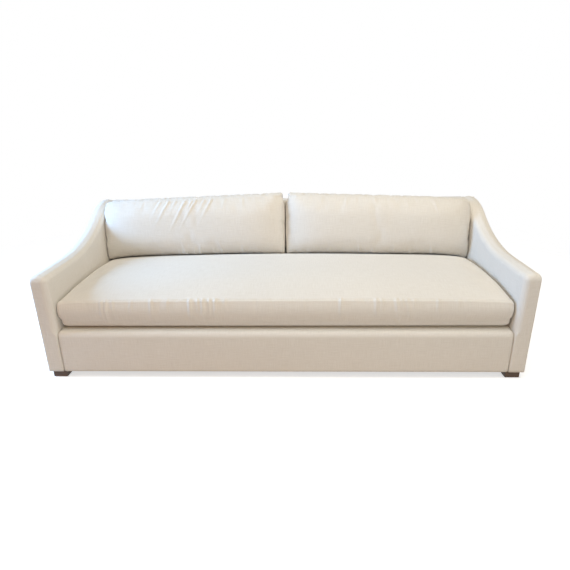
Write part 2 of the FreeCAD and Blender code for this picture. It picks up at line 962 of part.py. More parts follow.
def zip_rise(x):
    # The zipper's band runs straight from the middle of the sofa to the arm, above the seat cushion's rear seam
    inner = cushion_inner_x()
    outer = cushion_outer_x()
    share = (x - inner) / (outer - inner)
    seam = deck_height + seat_edge_height + seat_seam_rise * (1 - share)
    return rise_at(seam + cushion_zip_clearance, gap + cushion_zip_facet)


def cushion_section(share, inset):
    # The right back cushion cut at a share of its width from -1, the middle of the sofa, to 1, the arm
    middle = (cushion_inner_x() + cushion_outer_x()) / 2
    reach = (cushion_outer_x() - cushion_inner_x()) / 2
    x = middle + share * (reach - inset)
    along = (x - cushion_inner_x()) / (2 * reach)
    draw = abs(share) ** cushion_sharpness
    full = 1 - cushion_side_draw * draw
    top = rise_at(cushion_top_inner * (1 - along) + cushion_top_outer * along, cushion_top_depth)
    top = top - cushion_corner_drop * draw - inset
    foot = foot_rise(x) + inset
    facet = zip_rise(x) + inset
    rear = gap + inset
    front = cushion_fullness * full - inset
    rear_low = back_point(x, rear, facet + cushion_zip_facet)
    rear_high = back_point(x, rear, top - cushion_top_round)
    top_rear = back_point(x, rear + cushion_top_round, top - cushion_top_fall / 2)
    top_front = back_point(x, cushion_top_depth * full - inset, top - cushion_top_fall)
    front_high = back_point(x, front, top - cushion_front_round)
    front_low = back_point(x, front, foot + cushion_foot_rise)
    under_front = back_point(x, cushion_foot_depth * full, foot)
    under_rear = back_point(x, rear + cushion_zip_facet, facet)
    up = back_point(x, 0, 1) - back_point(x, 0, 0)
    backwards = (top_rear - top_front).normalize()
    shoulder = (up + backwards * cushion_shoulder_lean).normalize()
    rear_middle, direction = tangent_arc(rear_high, up, top_rear)
    high_middle, direction = tangent_arc(front_high, shoulder, top_front)
    inside = (rear_low + front_high) / 2
    return Part.Wire([
        line(rear_low, rear_high),
        arc(rear_high, rear_middle, top_rear),
        bowed(top_rear, top_front, cushion_top_fall, inside),
        arc(top_front, high_middle, front_high),
        bowed(front_high, front_low, cushion_front_bow * full, inside),
        bowed(front_low, under_front, cushion_foot_bow, inside),
        line(under_front, under_rear),
        line(under_rear, rear_low),
    ])


def cushion_body(inset):
    return Part.makeLoft([cushion_section(share, inset) for share in cushion_stations], True, False)


def back_cushion_cover():
    return cushion_body(0).cut(cushion_body(cloth))


def back_cushion_core():
    return cushion_body(cloth + gap)


# Zippers, built along X with Y outwards, then set in place

def zip_half_length(half_length):
    return half_length - zip_margin


def zipper(half_length):
    tapes = []
    for side in (-1, 1):
        low = min(0, side * zip_tape_width)
        tapes.append(box(-half_length, half_length, gap, gap + zip_tape_thickness, low, low + zip_tape_width))
    foot_y = gap + zip_tape_thickness
    chain = box(
        -half_length, half_length,
        foot_y, foot_y + zip_chain_height,
        -zip_chain_width / 2, zip_chain_width / 2)
    return tapes + [chain]


def zip_slider(half_length):
    # Slider at the chain's +X end, with its pull tab lying back along the chain
    end = half_length - slider_length
    foot_y = gap + zip_tape_thickness + slider_clearance
    top_y = foot_y + slider_height
    body = box(end, end + slider_length, foot_y, top_y, -slider_width / 2, slider_width / 2)
    room = zip_chain_width / 2 + slider_clearance
    channel = box(
        end - trim_margin, end + slider_length + trim_margin,
        0, gap + zip_tape_thickness + zip_chain_height + slider_clearance,
        -room, room)
    pull = box(
        end + slider_length / 2 - pull_length, end + slider_length / 2,
        top_y, top_y + pull_thickness,
        -pull_width / 2, pull_width / 2)
    return body.cut(channel).fuse(pull).removeSplitter()


def on_seat(shape):
    return shape.translated(V(0, seat_rear_y, zip_z))


def cushion_zip_frame():
    # Place of the right back cushion's zipper: middle of its slanted band, chain along the band
    inner = cushion_inner_x()
    outer = cushion_outer_x()
    half = cushion_zip_facet / 2
    start = back_point(inner, gap + half, zip_rise(inner) + half)
    end = back_point(outer, gap + half, zip_rise(outer) + half)
    along = (end - start).normalize()
    across = back_point(0, 1, -1) - back_point(0, 0, 0)
    out = along.cross(across).normalize()
    across = along.cross(out)
    middle = (start + end) / 2
    matrix = FreeCAD.Matrix(
        along.x, out.x, across.x, middle.x,
        along.y, out.y, across.y, middle.y,
        along.z, out.z, across.z, middle.z,
        0, 0, 0, 1)
    return matrix


def on_cushion(shape):
    return shape.transformed(cushion_zip_frame())


# Every sub-part under its own name

def wooden_pieces():
    pieces = {
        "front_rail": front_rail(),
        "rear_seat_rail": rear_seat_rail(),
        "back_rail": back_rail(),
        "back_top_rail": back_top_rail(),
        "back_lower_rail": back_lower_rail(),
    }
    arm = arm_wood()
    arm["arm_tack_rail"] = arm_tack_rail()
    for name, shape in arm.items():
        pieces[name + "_left"] = shape
        pieces[name + "_right"] = mirrored(shape)
    return {name: drilled(shape) for name, shape in pieces.items()}


def paired_pieces():
    left = {
        "arm_inner_board": arm_inner_board(),
        "arm_pad": arm_pad(),
        "arm_cover": arm_cover(),
        "outside_arm_panel": outside_arm_panel(),
    }
    pieces = {}
    for name, shape in left.items():
        pieces[name + "_left"] = shape
        pieces[name + "_right"] = mirrored(shape)
    return pieces


def grouped_pieces():
    places = bolt_places()
    bore = bolt_diameter + 2 * bolt_clearance
    nuts = []
    for place in places:
        start = place + V(0, 0, wood_z - trim_margin)
        nuts.append(tee_nut(place, 0).cut(rod(start, start + V(0, 0, base_z + trim_margin), bore)))
    return {
        "cross_rails": [drilled(rail) for rail in cross_rails()],
        "back_uprights": back_uprights(),
        "corner_blocks": [drilled(block) for block in corner_blocks()],
        "corner_screws": screws(),
        "frame_dowels": dowels(0),
        "foot_bolts": [foot_bolt(place, 0) for place in places],
        "foot_tee_nuts": nuts,
        "foot_glides": [glide(centre, 0) for centre in foot_centres().values()],
        "seat_springs": seat_springs(),
        "spring_clips": spring_clips(),
        "spring_tie_wires": spring_tie_wires(),
        "back_webbing": back_webbing(),
    }


def covering_pieces():
    return {
        "front_rail_pad": front_rail_pad(),
        "front_rail_cover": front_rail_cover(),
        "deck_pad": deck_pad(),
        "deck_cloth": deck_cloth(),
        "back_pad": back_pad(),
        "back_cover": back_cover(),
        "outside_back_panel": outside_back_panel(),
        "dust_cover": dust_cover(),
    }


def cushion_pieces():
    cover = back_cushion_cover()
    core = back_cushion_core()
    seat_reach = zip_half_length(seat_half_length)
    back_reach = zip_half_length((cushion_outer_x() - cushion_inner_x()) / 2)
    chain = Part.makeCompound(zipper(back_reach))
    slider = zip_slider(back_reach)
    return {
        "seat_cushion_cover": seat_cushion_cover(),
        "seat_cushion_core": seat_cushion_core(),
        "seat_zipper": on_seat(Part.makeCompound(zipper(seat_reach))),
        "seat_zip_slider": on_seat(zip_slider(seat_reach)),
        "back_cushion_cover_right": cover,
        "back_cushion_cover_left": mirrored(cover),
        "back_cushion_core_right": core,
        "back_cushion_core_left": mirrored(core),
        "back_zipper_right": on_cushion(chain),
        "back_zipper_left": mirrored(on_cushion(chain)),
        "back_zip_slider_right": on_cushion(slider),
        "back_zip_slider_left": mirrored(on_cushion(slider)),
    }


def main():
    pieces = wooden_pieces()
    pieces.update(paired_pieces())
    for name, solids in grouped_pieces().items():
        pieces[name] = Part.makeCompound(solids)
    pieces.update(covering_pieces())
    for name, centre in foot_centres().items():
        pieces["foot_" + name] = foot(centre)
    pieces.update(cushion_pieces())
    os.makedirs("parts", exist_ok=True)
    for name, shape in pieces.items():
        shape.exportStep("parts/" + name + ".step")


main()
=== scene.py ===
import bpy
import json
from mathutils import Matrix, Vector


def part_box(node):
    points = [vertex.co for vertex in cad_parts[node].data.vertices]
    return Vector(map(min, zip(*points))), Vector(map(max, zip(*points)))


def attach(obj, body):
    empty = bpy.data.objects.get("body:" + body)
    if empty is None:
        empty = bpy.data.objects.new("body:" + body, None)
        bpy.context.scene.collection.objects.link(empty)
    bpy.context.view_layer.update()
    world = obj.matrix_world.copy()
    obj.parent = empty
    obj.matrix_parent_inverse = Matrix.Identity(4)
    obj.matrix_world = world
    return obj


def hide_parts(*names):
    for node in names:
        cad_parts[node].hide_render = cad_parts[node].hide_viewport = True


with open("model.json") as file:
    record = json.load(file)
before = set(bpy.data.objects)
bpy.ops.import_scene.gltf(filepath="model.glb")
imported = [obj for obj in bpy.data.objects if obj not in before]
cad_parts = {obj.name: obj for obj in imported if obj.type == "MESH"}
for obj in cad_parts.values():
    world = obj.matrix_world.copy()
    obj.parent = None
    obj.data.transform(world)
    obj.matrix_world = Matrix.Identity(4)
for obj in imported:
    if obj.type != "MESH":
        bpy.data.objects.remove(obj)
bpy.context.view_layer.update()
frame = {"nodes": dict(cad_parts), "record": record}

import json
import math

import bmesh
import bpy
import numpy as np
from bpy.props import FloatProperty, FloatVectorProperty, PointerProperty
from mathutils import Matrix, Vector

bl_info = {
    "name": "Slope arm sofa",
    "version": (1, 0, 0),
    "blender": (4, 5, 0),
    "location": "View3D > Sidebar > Sofa",
    "description": "Dresses the frame of a slope arm sofa in linen, with its cushions, feet and stage",
    "category": "Object",
}

# Planes of the frame, in metres: X across, Y from front to back, Z up
ARM_LOW, ARM_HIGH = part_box("arm_cover_left")
HALF_WIDTH = -ARM_LOW.x
ARM_INNER = -ARM_HIGH.x
FRONT = ARM_LOW.y
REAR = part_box("outside_back_panel")[1].y
BASE = ARM_LOW.z
TOP = ARM_HIGH.z
RAIL_LOW, RAIL_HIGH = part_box("front_rail_cover")
DECK_LOW, DECK_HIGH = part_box("deck_cloth")
DECK = DECK_HIGH.z
BACK_LOW, BACK_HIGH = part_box("back_cover")
SEAT_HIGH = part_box("seat_cushion_cover")[1]
CUSHION_LOW, CUSHION_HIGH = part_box("back_cushion_cover_right")
# Room between pieces that would otherwise share a face
HAIR = 0.0003
SIDES = {"left": -1, "right": 1}


def linear(code):
    """An sRGB hex colour as the linear values that sockets hold."""
    shares = [int(code[i:i + 2], 16) / 255 for i in (1, 3, 5)]
    return tuple(c / 12.92 if c <= 0.04045 else ((c + 0.055) / 1.055) ** 2.4 for c in shares) + (1.0,)


def length(name, description, default):
    return FloatProperty(name=name, description=description, default=default, unit="LENGTH", precision=4)


def angle(name, description, degrees):
    return FloatProperty(name=name, description=description, default=math.radians(degrees), subtype="ANGLE")


def power(name, description, watts):
    return FloatProperty(name=name, description=description, default=watts, subtype="POWER")


def level(name, description, default):
    return FloatProperty(name=name, description=description, default=default, min=0, max=2)


def colour(name, description, code):
    return FloatVectorProperty(
        name=name, description=description, default=linear(code), size=4, subtype="COLOR", min=0, max=1)


class SofaSizes(bpy.types.PropertyGroup):
    """Sizes of the upholstery that can be changed"""

    arm_front_height: length("Arm front height", "Floor to the level front part of an arm", 0.622)
    arm_sweep: length("Arm sweep", "Radius of the hollow sweep behind the level part", 1.035)
    arm_crest: length("Arm crest", "Radius of the round crest where the arm meets the back", 0.386)
    arm_level: length("Arm level", "Level stretch behind the crest", 0.027)
    arm_round: length("Arm edge", "Rounding of an arm's padded edges", 0.034)
    arm_dome: length("Arm dome", "Swell of the padding on an arm's top", 0.004)
    rail_round: length("Rail edge", "Rounding of the front rail's top edge", 0.030)
    back_round: length("Back edge", "Rounding of the inside back's top edge", 0.026)
    seat_band: length("Seat band", "Height of the top seam over the deck, at the arms", 0.170)
    seat_seam_rise: length("Seat seam rise", "Extra height of the top seam in the middle", 0.012)
    seat_crown: length("Seat crown", "Swell of the seat cushion over its seam, in the middle", 0.056)
    seat_bulge: length("Seat bulge", "Swell of the seat cushion's front band", 0.019)
    cushion_top_inner: length("Back cushion inner top", "Height of a back cushion beside the other one", 0.905)
    cushion_top_outer: length("Back cushion outer top", "Height of a back cushion beside the arm", 0.862)
    cushion_crown: length("Back cushion crown", "Thickness of a back cushion in its middle", 0.200)
    cushion_edge: length("Back cushion edge", "Thickness of a back cushion at its seams", 0.132)
    seam_depth: length("Seam depth", "Depth of the groove that a seam draws into the cloth", 0.0026)
    zip_pitch: length("Zip pitch", "Distance from one zipper tooth to the next", 0.0034)
    back_lean: angle("Back lean", "Lean of the inside back", 9)


class SofaCloth(bpy.types.PropertyGroup):
    """Colours of the cloth and the wood"""

    linen: colour("Linen", "Middle tone of the linen", "#E3DED6")
    linen_pale: colour("Linen, pale thread", "Tone of the bleached threads", "#EDEAE4")
    linen_dark: colour("Linen, dark thread", "Tone of the unbleached threads", "#CDC6BB")
    foot: colour("Foot", "Stain of the feet", "#573716")
    foot_dark: colour("Foot grain", "Dark grain of the feet", "#2E1C0B")


class SofaStage(bpy.types.PropertyGroup):
    """Camera and light"""

    eye: FloatVectorProperty(
        name="Camera", description="Place of the camera", default=(0.097, -2.857, 1.448), subtype="TRANSLATION")
    pitch: angle("Pitch", "Downward tilt", 20.77)
    yaw: angle("Yaw", "Turn to the right", -1.92)
    roll: angle("Roll", "Turn about the line of sight", 0.90)
    lens: FloatProperty(name="Lens", description="Focal length in millimetres", default=29.22, min=10, max=200)
    top_light: power("Top light", "Power of the overhead light", 94.0)
    window_light: power("Window light", "Power of the cool side light", 150.0)
    front_light: power("Front light", "Power of the front light", 36.0)
    lamp_light: power("Lamp", "Power of the low warm light", 6.0)
    rear_light: power("Rear light", "Power of the light behind the back", 30.0)
    floor_glow: level("Floor glow", "Own light of the floor", 0.62)
    ambient: level("Ambient", "Strength of the even light all round", 0.22)


# Materials

def fill_in(tree, node, inputs):
    """Sets or links a node's inputs, by name or by number."""
    for socket, value in inputs.items():
        if isinstance(value, bpy.types.NodeSocket):
            tree.links.new(value, node.inputs[socket])
        else:
            node.inputs[socket].default_value = value


def add_node(tree, kind, inputs=None, **settings):
    """Adds a node, sets it up, fills in its inputs and gives its outputs."""
    node = tree.nodes.new(kind)
    for name, value in settings.items():
        setattr(node, name, value)
    fill_in(tree, node, inputs or {})
    return node.outputs


def new_material(name, **sockets):
    """A material with one Principled shader, whose even values are set on its own sockets."""
    material = bpy.data.materials.new(name)
    material.use_nodes = True
    tree = material.node_tree
    shader = tree.nodes["Principled BSDF"]
    for socket, value in sockets.items():
        shader.inputs[socket.replace("_", " ")].default_value = value
    return material, tree, shader


def streaks(tree, place, run, width, seed, detail=2.0):
    """Noise whose marks have a run along U and a width along V, both in millimetres."""
    scaled = add_node(tree, "ShaderNodeMapping", {
        "Vector": place, "Location": (seed, seed * 0.37, 0), "Scale": (1000 / run, 1000 / width, 1000 / width)})
    return add_node(tree, "ShaderNodeTexNoise", {
        "Vector": scaled[0], "Scale": 1.0, "Detail": detail, "Roughness": 0.55})["Fac"]


def dress(tree, shader, tone, gloss, height, relief, depth):
    """Links a pattern to the shader: its tone, its roughness, and its relief with a depth in millimetres."""
    raised = add_node(tree, "ShaderNodeBump", {"Height": height, "Strength": relief, "Distance": depth / 1000})
    fill_in(tree, shader, {"Base Color": tone, "Roughness": gloss, "Normal": raised[0]})


# Size of the broad, faint patches in a woven cloth, in millimetres
PATCH_SIZE = 620


def woven(name, tones, thread, slub, contrast, relief, **sockets):
    """A plain weave on the piece's own cloth coordinates: warp and weft threads that thicken and thin.
    tones are the middle, pale and dark one, thread is the drawn thread spacing and slub the length of its thick
    places, both in millimetres."""
    middle, pale, dark = tones
    material, tree, shader = new_material(name, **sockets)
    place = add_node(tree, "ShaderNodeUVMap", uv_map="cloth")["UV"]
    weft = streaks(tree, place, slub, thread, 3.1)
    warp = streaks(tree, place, thread, slub, 7.7)
    broad = streaks(tree, place, PATCH_SIZE, PATCH_SIZE, 1.3)
    threads = add_node(tree, "ShaderNodeMix", {0: 0.5, 2: weft, 3: warp})[0]
    turns = add_node(
        tree, "ShaderNodeVectorMath", {0: place, 1: (2 * math.pi * 1000 / thread,) * 3}, operation="MULTIPLY")
    waves = add_node(tree, "ShaderNodeVectorMath", {0: turns[0]}, operation="SINE")
    wave = add_node(tree, "ShaderNodeSeparateXYZ", {0: waves[0]})
    grid = add_node(tree, "ShaderNodeMath", {0: wave[0], 1: wave[1]}, operation="MULTIPLY")[0]
    height = add_node(tree, "ShaderNodeMath", {0: grid, 1: 0.18, 2: threads}, operation="MULTIPLY_ADD")[0]
    light = add_node(tree, "ShaderNodeMapRange", {0: threads, 1: 0.5 - contrast, 2: 0.5 + contrast})[0]
    tone = add_node(tree, "ShaderNodeMix", {0: light, 6: dark, 7: pale}, data_type="RGBA")[2]
    even = add_node(tree, "ShaderNodeMix", {0: 0.58, 6: tone, 7: middle}, data_type="RGBA")[2]
    shade = add_node(tree, "ShaderNodeMapRange", {0: broad, 1: 0.3, 2: 0.7, 3: 0.0, 4: 0.16})[0]
    patchy = add_node(tree, "ShaderNodeMix", {0: shade, 6: even, 7: dark}, data_type="RGBA")[2]
    gloss = add_node(tree, "ShaderNodeMapRange", {0: threads, 1: 0.35, 2: 0.65, 3: 0.96, 4: 0.86})[0]
    dress(tree, shader, patchy, gloss, height, relief, thread)
    return material


def wooden(name, pale, dark, grain, band, seed, relief, rough):
    """Straight grained wood along X on Object coordinates: grain is the width of a pore line and band that of a ring,
    both in millimetres."""
    material, tree, shader = new_material(name, Roughness=rough)
    place = add_node(tree, "ShaderNodeTexCoord")["Object"]
    pores = streaks(tree, place, grain * 30, grain, seed, 4.0)
    rings = streaks(tree, place, band * 14, band, seed * 2.1, 3.0)
    light = add_node(tree, "ShaderNodeMapRange", {0: rings, 1: 0.32, 2: 0.68})[0]
    tone = add_node(tree, "ShaderNodeMix", {0: light, 6: dark, 7: pale}, data_type="RGBA")[2]
    fleck = add_node(tree, "ShaderNodeMapRange", {0: pores, 1: 0.56, 2: 0.7, 3: 0.0, 4: 0.6})[0]
    flecked = add_node(tree, "ShaderNodeMix", {0: fleck, 6: tone, 7: dark}, data_type="RGBA")[2]
    gloss = add_node(tree, "ShaderNodeMapRange", {0: pores, 1: 0.3, 2: 0.7, 3: rough - 0.06, 4: rough + 0.12})[0]
    dress(tree, shader, flecked, gloss, pores, relief, grain)
    return material


# Marks on a surface: their run as a multiple of the grit, the noise's seed and detail, the span of it that blends the
# two tones, the darker tone as a share of the other, the least and most change of roughness, and the relief
DRAWN_MARKS = (12, 5.2, 3.0, (0.35, 0.65), 0.72, (-0.08, 0.12), 0.12)
EVEN_GRAIN = (1, 2.4, 2.0, (0.0, 1.0), 0.85, (-0.05, 0.10), 0.15)


def marked(name, code, rough, grit, marks, **sockets):
    """Scratches or a grain of a given grit in millimetres, which move the tone and the roughness."""
    run, seed, detail, span, dark, change, relief = marks
    material, tree, shader = new_material(name, **sockets)
    place = add_node(tree, "ShaderNodeTexCoord")["Object"]
    noise = streaks(tree, place, grit * run, grit, seed, detail)
    shade = linear(code)
    dull = tuple(share * dark for share in shade[:3]) + (1.0,)
    light = add_node(tree, "ShaderNodeMapRange", {0: noise, 1: span[0], 2: span[1]})[0]
    tone = add_node(tree, "ShaderNodeMix", {0: light, 6: dull, 7: shade}, data_type="RGBA")[2]
    gloss = add_node(
        tree, "ShaderNodeMapRange", {0: noise, 1: 0.3, 2: 0.7, 3: rough + change[0], 4: rough + change[1]})[0]
    dress(tree, shader, tone, gloss, noise, relief, grit)
    return material


def three_tones(middle, pale, dark):
    return linear(middle), linear(pale), linear(dark)


MAKERS = {
    # Washed linen, plain woven and piece dyed: matt, with a faint sheen at grazing angles and slubs along both
    # threads. Real threads are about 0.7 mm apart and are drawn at 3.6 mm, or they would not show.
    "oatmeal_linen": lambda cloth: woven(
        "oatmeal_linen_plain_weave", (cloth.linen, cloth.linen_pale, cloth.linen_dark),
        thread=3.6, slub=70.0, contrast=0.2, relief=0.22,
        Sheen_Weight=0.22, Sheen_Roughness=0.45, Specular_IOR_Level=0.22),
    # Cotton platform cloth under the seat cushion: smoother and yellower than the linen. Its threads and those of the
    # next two cloths are drawn coarser than the real ones too.
    "deck_lining": lambda cloth: woven(
        "cotton_platform_cloth", three_tones("#CFC4B0", "#DAD0BE", "#B9AD97"),
        thread=3.0, slub=26.0, contrast=0.22, relief=0.3, Sheen_Weight=0.1, Specular_IOR_Level=0.25),
    # Spun polypropylene dust cloth: black felted sheet with a dull, slightly plastic surface.
    "dust_cloth": lambda cloth: woven(
        "spunbond_dust_cloth", three_tones("#1B1B1D", "#2A2A2D", "#101011"),
        thread=2.4, slub=9.0, contrast=0.2, relief=0.35, Specular_IOR_Level=0.35),
    # Polyester zipper tape: fine, even, a little shinier than the linen.
    "zip_tape": lambda cloth: woven(
        "polyester_zip_tape", three_tones("#C3B7A4", "#CFC4B2", "#AFA28E"),
        thread=1.2, slub=5.0, contrast=0.2, relief=0.3, Specular_IOR_Level=0.4),
    # Sawn poplar, unfinished: pale, straight grained and quite dull.
    "frame_wood": lambda cloth: wooden(
        "sawn_poplar", linear("#C9AE86"), linear("#9C7B52"),
        grain=1.2, band=9.0, seed=3.7, relief=0.3, rough=0.72),
    # Dark stained beech under a satin lacquer: brown with nearly black pores, and a soft shine.
    "dark_wood": lambda cloth: wooden(
        "dark_stained_beech", cloth.foot, cloth.foot_dark,
        grain=0.8, band=6.0, seed=9.1, relief=0.2, rough=0.42),
    # Pressed board: brown, dull, with a short grain in no direction.
    "hardboard": lambda cloth: marked(
        "pressed_hardboard", "#6B4A2C", rough=0.8, grit=1.4, marks=EVEN_GRAIN),
    # Open cell foam: pale yellow and quite dull, with cells that just show.
    "foam": lambda cloth: marked(
        "open_cell_foam", "#E8DDC0", rough=0.94, grit=1.6, marks=EVEN_GRAIN),
    # Polyester fibre in a ticking case: white and dull.
    "fibre_fill": lambda cloth: marked(
        "polyester_fibre", "#EFEDE7", rough=0.96, grit=5.0, marks=EVEN_GRAIN),
    # Jute webbing: brown, hairy and dull.
    "webbing": lambda cloth: marked(
        "jute_webbing", "#8D6C44", rough=0.95, grit=2.6, marks=EVEN_GRAIN),
    # Oiled spring wire: dark grey with long drawing marks and a low gleam.
    "spring_steel": lambda cloth: marked(
        "oiled_spring_wire", "#6A6B70", rough=0.36, grit=0.5, marks=DRAWN_MARKS, Metallic=1.0),
    # Zinc plated screws and clips: pale bluish grey, half bright.
    "zinc_steel": lambda cloth: marked(
        "zinc_plated_steel", "#BFC3C9", rough=0.4, grit=0.8, marks=DRAWN_MARKS, Metallic=1.0),
    # Nickel plated zipper slider: warm grey, fairly bright.
    "slider_nickel": lambda cloth: marked(
        "nickel_plated_zinc", "#BBB5AA", rough=0.3, grit=0.4, marks=DRAWN_MARKS, Metallic=1.0),
    # Nylon glide: black and half dull.
    "glide_plastic": lambda cloth: marked(
        "nylon_glide", "#26262A", rough=0.48, grit=0.6, marks=EVEN_GRAIN),
    # Nylon zipper coil: beige and half shiny.
    "zip_nylon": lambda cloth: marked(
        "nylon_zip_coil", "#B9AD99", rough=0.45, grit=0.5, marks=EVEN_GRAIN),
}
finishes = {}


def finish(slot):
    """The material of a slot, made the first time that it is asked for."""
    if slot not in finishes:
        finishes[slot] = MAKERS[slot](bpy.context.scene.sofa_cloth)
    return finishes[slot]


# Meshes

# Near an edge each step is this many times the one before it, and such steps take up to this share of the span
STEP_GROWTH = 1.7
EDGE_SHARE = 0.4


def spaced(span, step, fine=None):
    """Distances from 0 to span, a step apart, and closer near both ends when fine is given."""
    if not fine:
        return np.linspace(0, span, max(2, round(span / step) + 1))
    edge = [0.0]
    stride = fine
    while stride < step and edge[-1] + stride < span * EDGE_SHARE:
        edge.append(edge[-1] + stride)
        stride *= STEP_GROWTH
    edge = np.array(edge)
    middle = np.linspace(edge[-1], span - edge[-1], max(2, round((span - 2 * edge[-1]) / step) + 1))
    return np.concatenate([edge[:-1], middle, (span - edge)[::-1][1:]])


def run_lengths(points, axis):
    """Distance along each row or column of a grid of points."""
    steps = np.linalg.norm(np.diff(points, axis=axis), axis=2)
    start = np.zeros_like(np.take(steps, [0], axis=axis))
    return np.cumsum(np.concatenate([start, steps], axis=axis), axis=axis)


def patch(points, sewn="", shift=(0.0, 0.0), turn=False):
    """A grid of points with cloth coordinates in metres, and the distance of each to the nearest sewn edge.
    sewn holds the letters of its sewn edges: n and s for the first and last row, w and e for the columns."""
    points = np.asarray(points, float)
    down = run_lengths(points, 0)
    along = run_lengths(points, 1)
    to_edge = {"n": down, "s": down[-1:] - down, "w": along, "e": along[:, -1:] - along}
    seam = np.min([to_edge[side] for side in sewn], axis=0) if sewn else np.full(down.shape, 1.0)
    u, v = (down, along) if turn else (along, down)
    cloth = np.stack([u + shift[0], v + shift[1]], axis=2)
    return points, cloth, seam


def mirrored(patches):
    """Patches of a left piece turned over for the right one, or the other way."""
    return [(points * np.array([-1.0, 1.0, 1.0]), cloth, seam) for points, cloth, seam in patches]


def sewn_mesh(name, patches, merge=2e-5):
    """One mesh from patches that share their edges, with its faces turned outwards."""
    verts = []
    cloth = []
    seam = []
    faces = []
    start = 0
    for points, places, apart in patches:
        rows, columns = points.shape[:2]
        verts.append(points.reshape(-1, 3))
        cloth.append(places.reshape(-1, 2))
        seam.append(apart.reshape(-1))
        index = np.arange(rows * columns).reshape(rows, columns) + start
        quads = np.stack([index[:-1, :-1], index[:-1, 1:], index[1:, 1:], index[1:, :-1]], axis=2)
        faces.append(quads.reshape(-1, 4))
        start += rows * columns
    mesh = bpy.data.meshes.new(name)
    mesh.from_pydata(np.concatenate(verts).tolist(), [], np.concatenate(faces).tolist())
    corners = np.zeros(len(mesh.loops), np.int32)
    mesh.loops.foreach_get("vertex_index", corners)
    layer = mesh.uv_layers.new(name="cloth")
    layer.data.foreach_set("uv", np.concatenate(cloth)[corners].astype(np.float32).ravel())
    apart = mesh.attributes.new("seam", "FLOAT", "POINT")
    apart.data.foreach_set("value", np.concatenate(seam).astype(np.float32))
    work = bmesh.new()
    work.from_mesh(mesh)
    bmesh.ops.remove_doubles(work, verts=work.verts, dist=merge)
    bmesh.ops.dissolve_degenerate(work, edges=work.edges, dist=merge)
    holes = [edge for edge in work.edges if edge.is_boundary]
    if holes:
        bmesh.ops.holes_fill(work, edges=holes)
    bmesh.ops.recalc_face_normals(work, faces=work.faces)
    work.to_mesh(mesh)
    work.free()
    mesh.shade_smooth()
    piece = bpy.data.objects.new(name, mesh)
    bpy.context.scene.collection.objects.link(piece)
    return piece


def vertex_values(mesh, rows, key, width):
    flat = np.zeros(len(mesh.vertices) * width, np.float32)
    rows.foreach_get(key, flat)
    return flat.reshape(-1, width).astype(float)


def coords(mesh):
    return vertex_values(mesh, mesh.vertices, "co", 3)


def normals(mesh):
    return vertex_values(mesh, mesh.vertices, "normal", 3)


def seam_distance(mesh):
    return vertex_values(mesh, mesh.attributes["seam"].data, "value", 1)[:, 0]


def set_coords(mesh, points):
    mesh.vertices.foreach_set("co", points.astype(np.float32).ravel())
    mesh.update()


def push_out(mesh, amount):
    """Moves each point of a mesh along its normal."""
    set_coords(mesh, coords(mesh) + normals(mesh) * amount[:, None])


def ripple(points, seed, wave, count=7):
    """Smooth unevenness from -1 to 1, of about one wave length, the same each time for a seed."""
    dice = np.random.default_rng(seed)
    total = np.zeros(len(points))
    for _ in range(count):
        heading = dice.normal(size=3)
        heading *= 2 * math.pi / (wave * dice.uniform(0.7, 1.5) * np.linalg.norm(heading))
        total += np.sin(points @ heading + dice.uniform(0, 2 * math.pi))
    return total / count


# A crease starts within this distance of its seam, and this share of its height is dug out beside it
CREASE_START = 0.012
CREASE_HOLLOW = 0.9


def pleats(along, away, places, strength=2.2):
    """Height of the creases that run off a seam: places hold position, lean, width, reach and depth, and strength is
    a factor on all the depths."""
    total = np.zeros(len(along))
    for position, lean, width, reach, depth in places:
        across = (along - position - lean * away) / width
        shape = np.exp(-across ** 2) * (1 - CREASE_HOLLOW * across ** 2)
        rise = np.clip(away / CREASE_START, 0, 1) * np.exp(-(away / reach) ** 2)
        total += strength * depth * shape * rise
    return total


def gathers(seed, low, high, spacing, depth, reach):
    """Small creases at uneven places along a seam."""
    dice = np.random.default_rng(seed)
    places = []
    position = low
    while position < high:
        position += spacing * dice.uniform(0.5, 1.6)
        places.append((
            position, dice.uniform(-0.35, 0.35), dice.uniform(0.010, 0.018),
            reach * dice.uniform(0.5, 1.4), depth * dice.uniform(-1.0, 0.7)))
    return places


# Width of a seam's groove, and place, width and share of the depth of the roll beside it
GROOVE_WIDTH = 0.0028
ROLL_PLACE = 0.0085
ROLL_WIDTH = 0.005
ROLL_SHARE = 0.35


def draw_seams(mesh, depth):
    """The groove of each seam and the low roll of cloth beside it."""
    apart = seam_distance(mesh)
    groove = -depth * np.exp(-(apart / GROOVE_WIDTH) ** 2)
    roll = ROLL_SHARE * depth * np.exp(-((apart - ROLL_PLACE) / ROLL_WIDTH) ** 2)
    push_out(mesh, groove + roll)


def make_plain(piece):
    """The piece's modifiers turned into plain mesh."""
    made = bpy.data.meshes.new_from_object(piece.evaluated_get(bpy.context.evaluated_depsgraph_get()))
    piece.modifiers.clear()
    old = piece.data
    piece.data = made
    made.name = piece.name
    bpy.data.meshes.remove(old)


def subdivide(piece):
    """One step of Catmull-Clark subdivision, made plain mesh."""
    modifier = piece.modifiers.new("Subdivision", "SUBSURF")
    modifier.levels = modifier.render_levels = 1
    make_plain(piece)


def soften(piece, places, rounds):
    """Rounds off the given places of a piece's mesh, in Y and Z."""
    work = bmesh.new()
    work.from_mesh(piece.data)
    work.verts.ensure_lookup_table()
    chosen = [work.verts[i] for i in np.nonzero(places)[0]]
    for _ in range(rounds):
        bmesh.ops.smooth_vert(
            work, verts=chosen, factor=0.5, use_axis_x=False, use_axis_y=True, use_axis_z=True)
    work.to_mesh(piece.data)
    work.free()


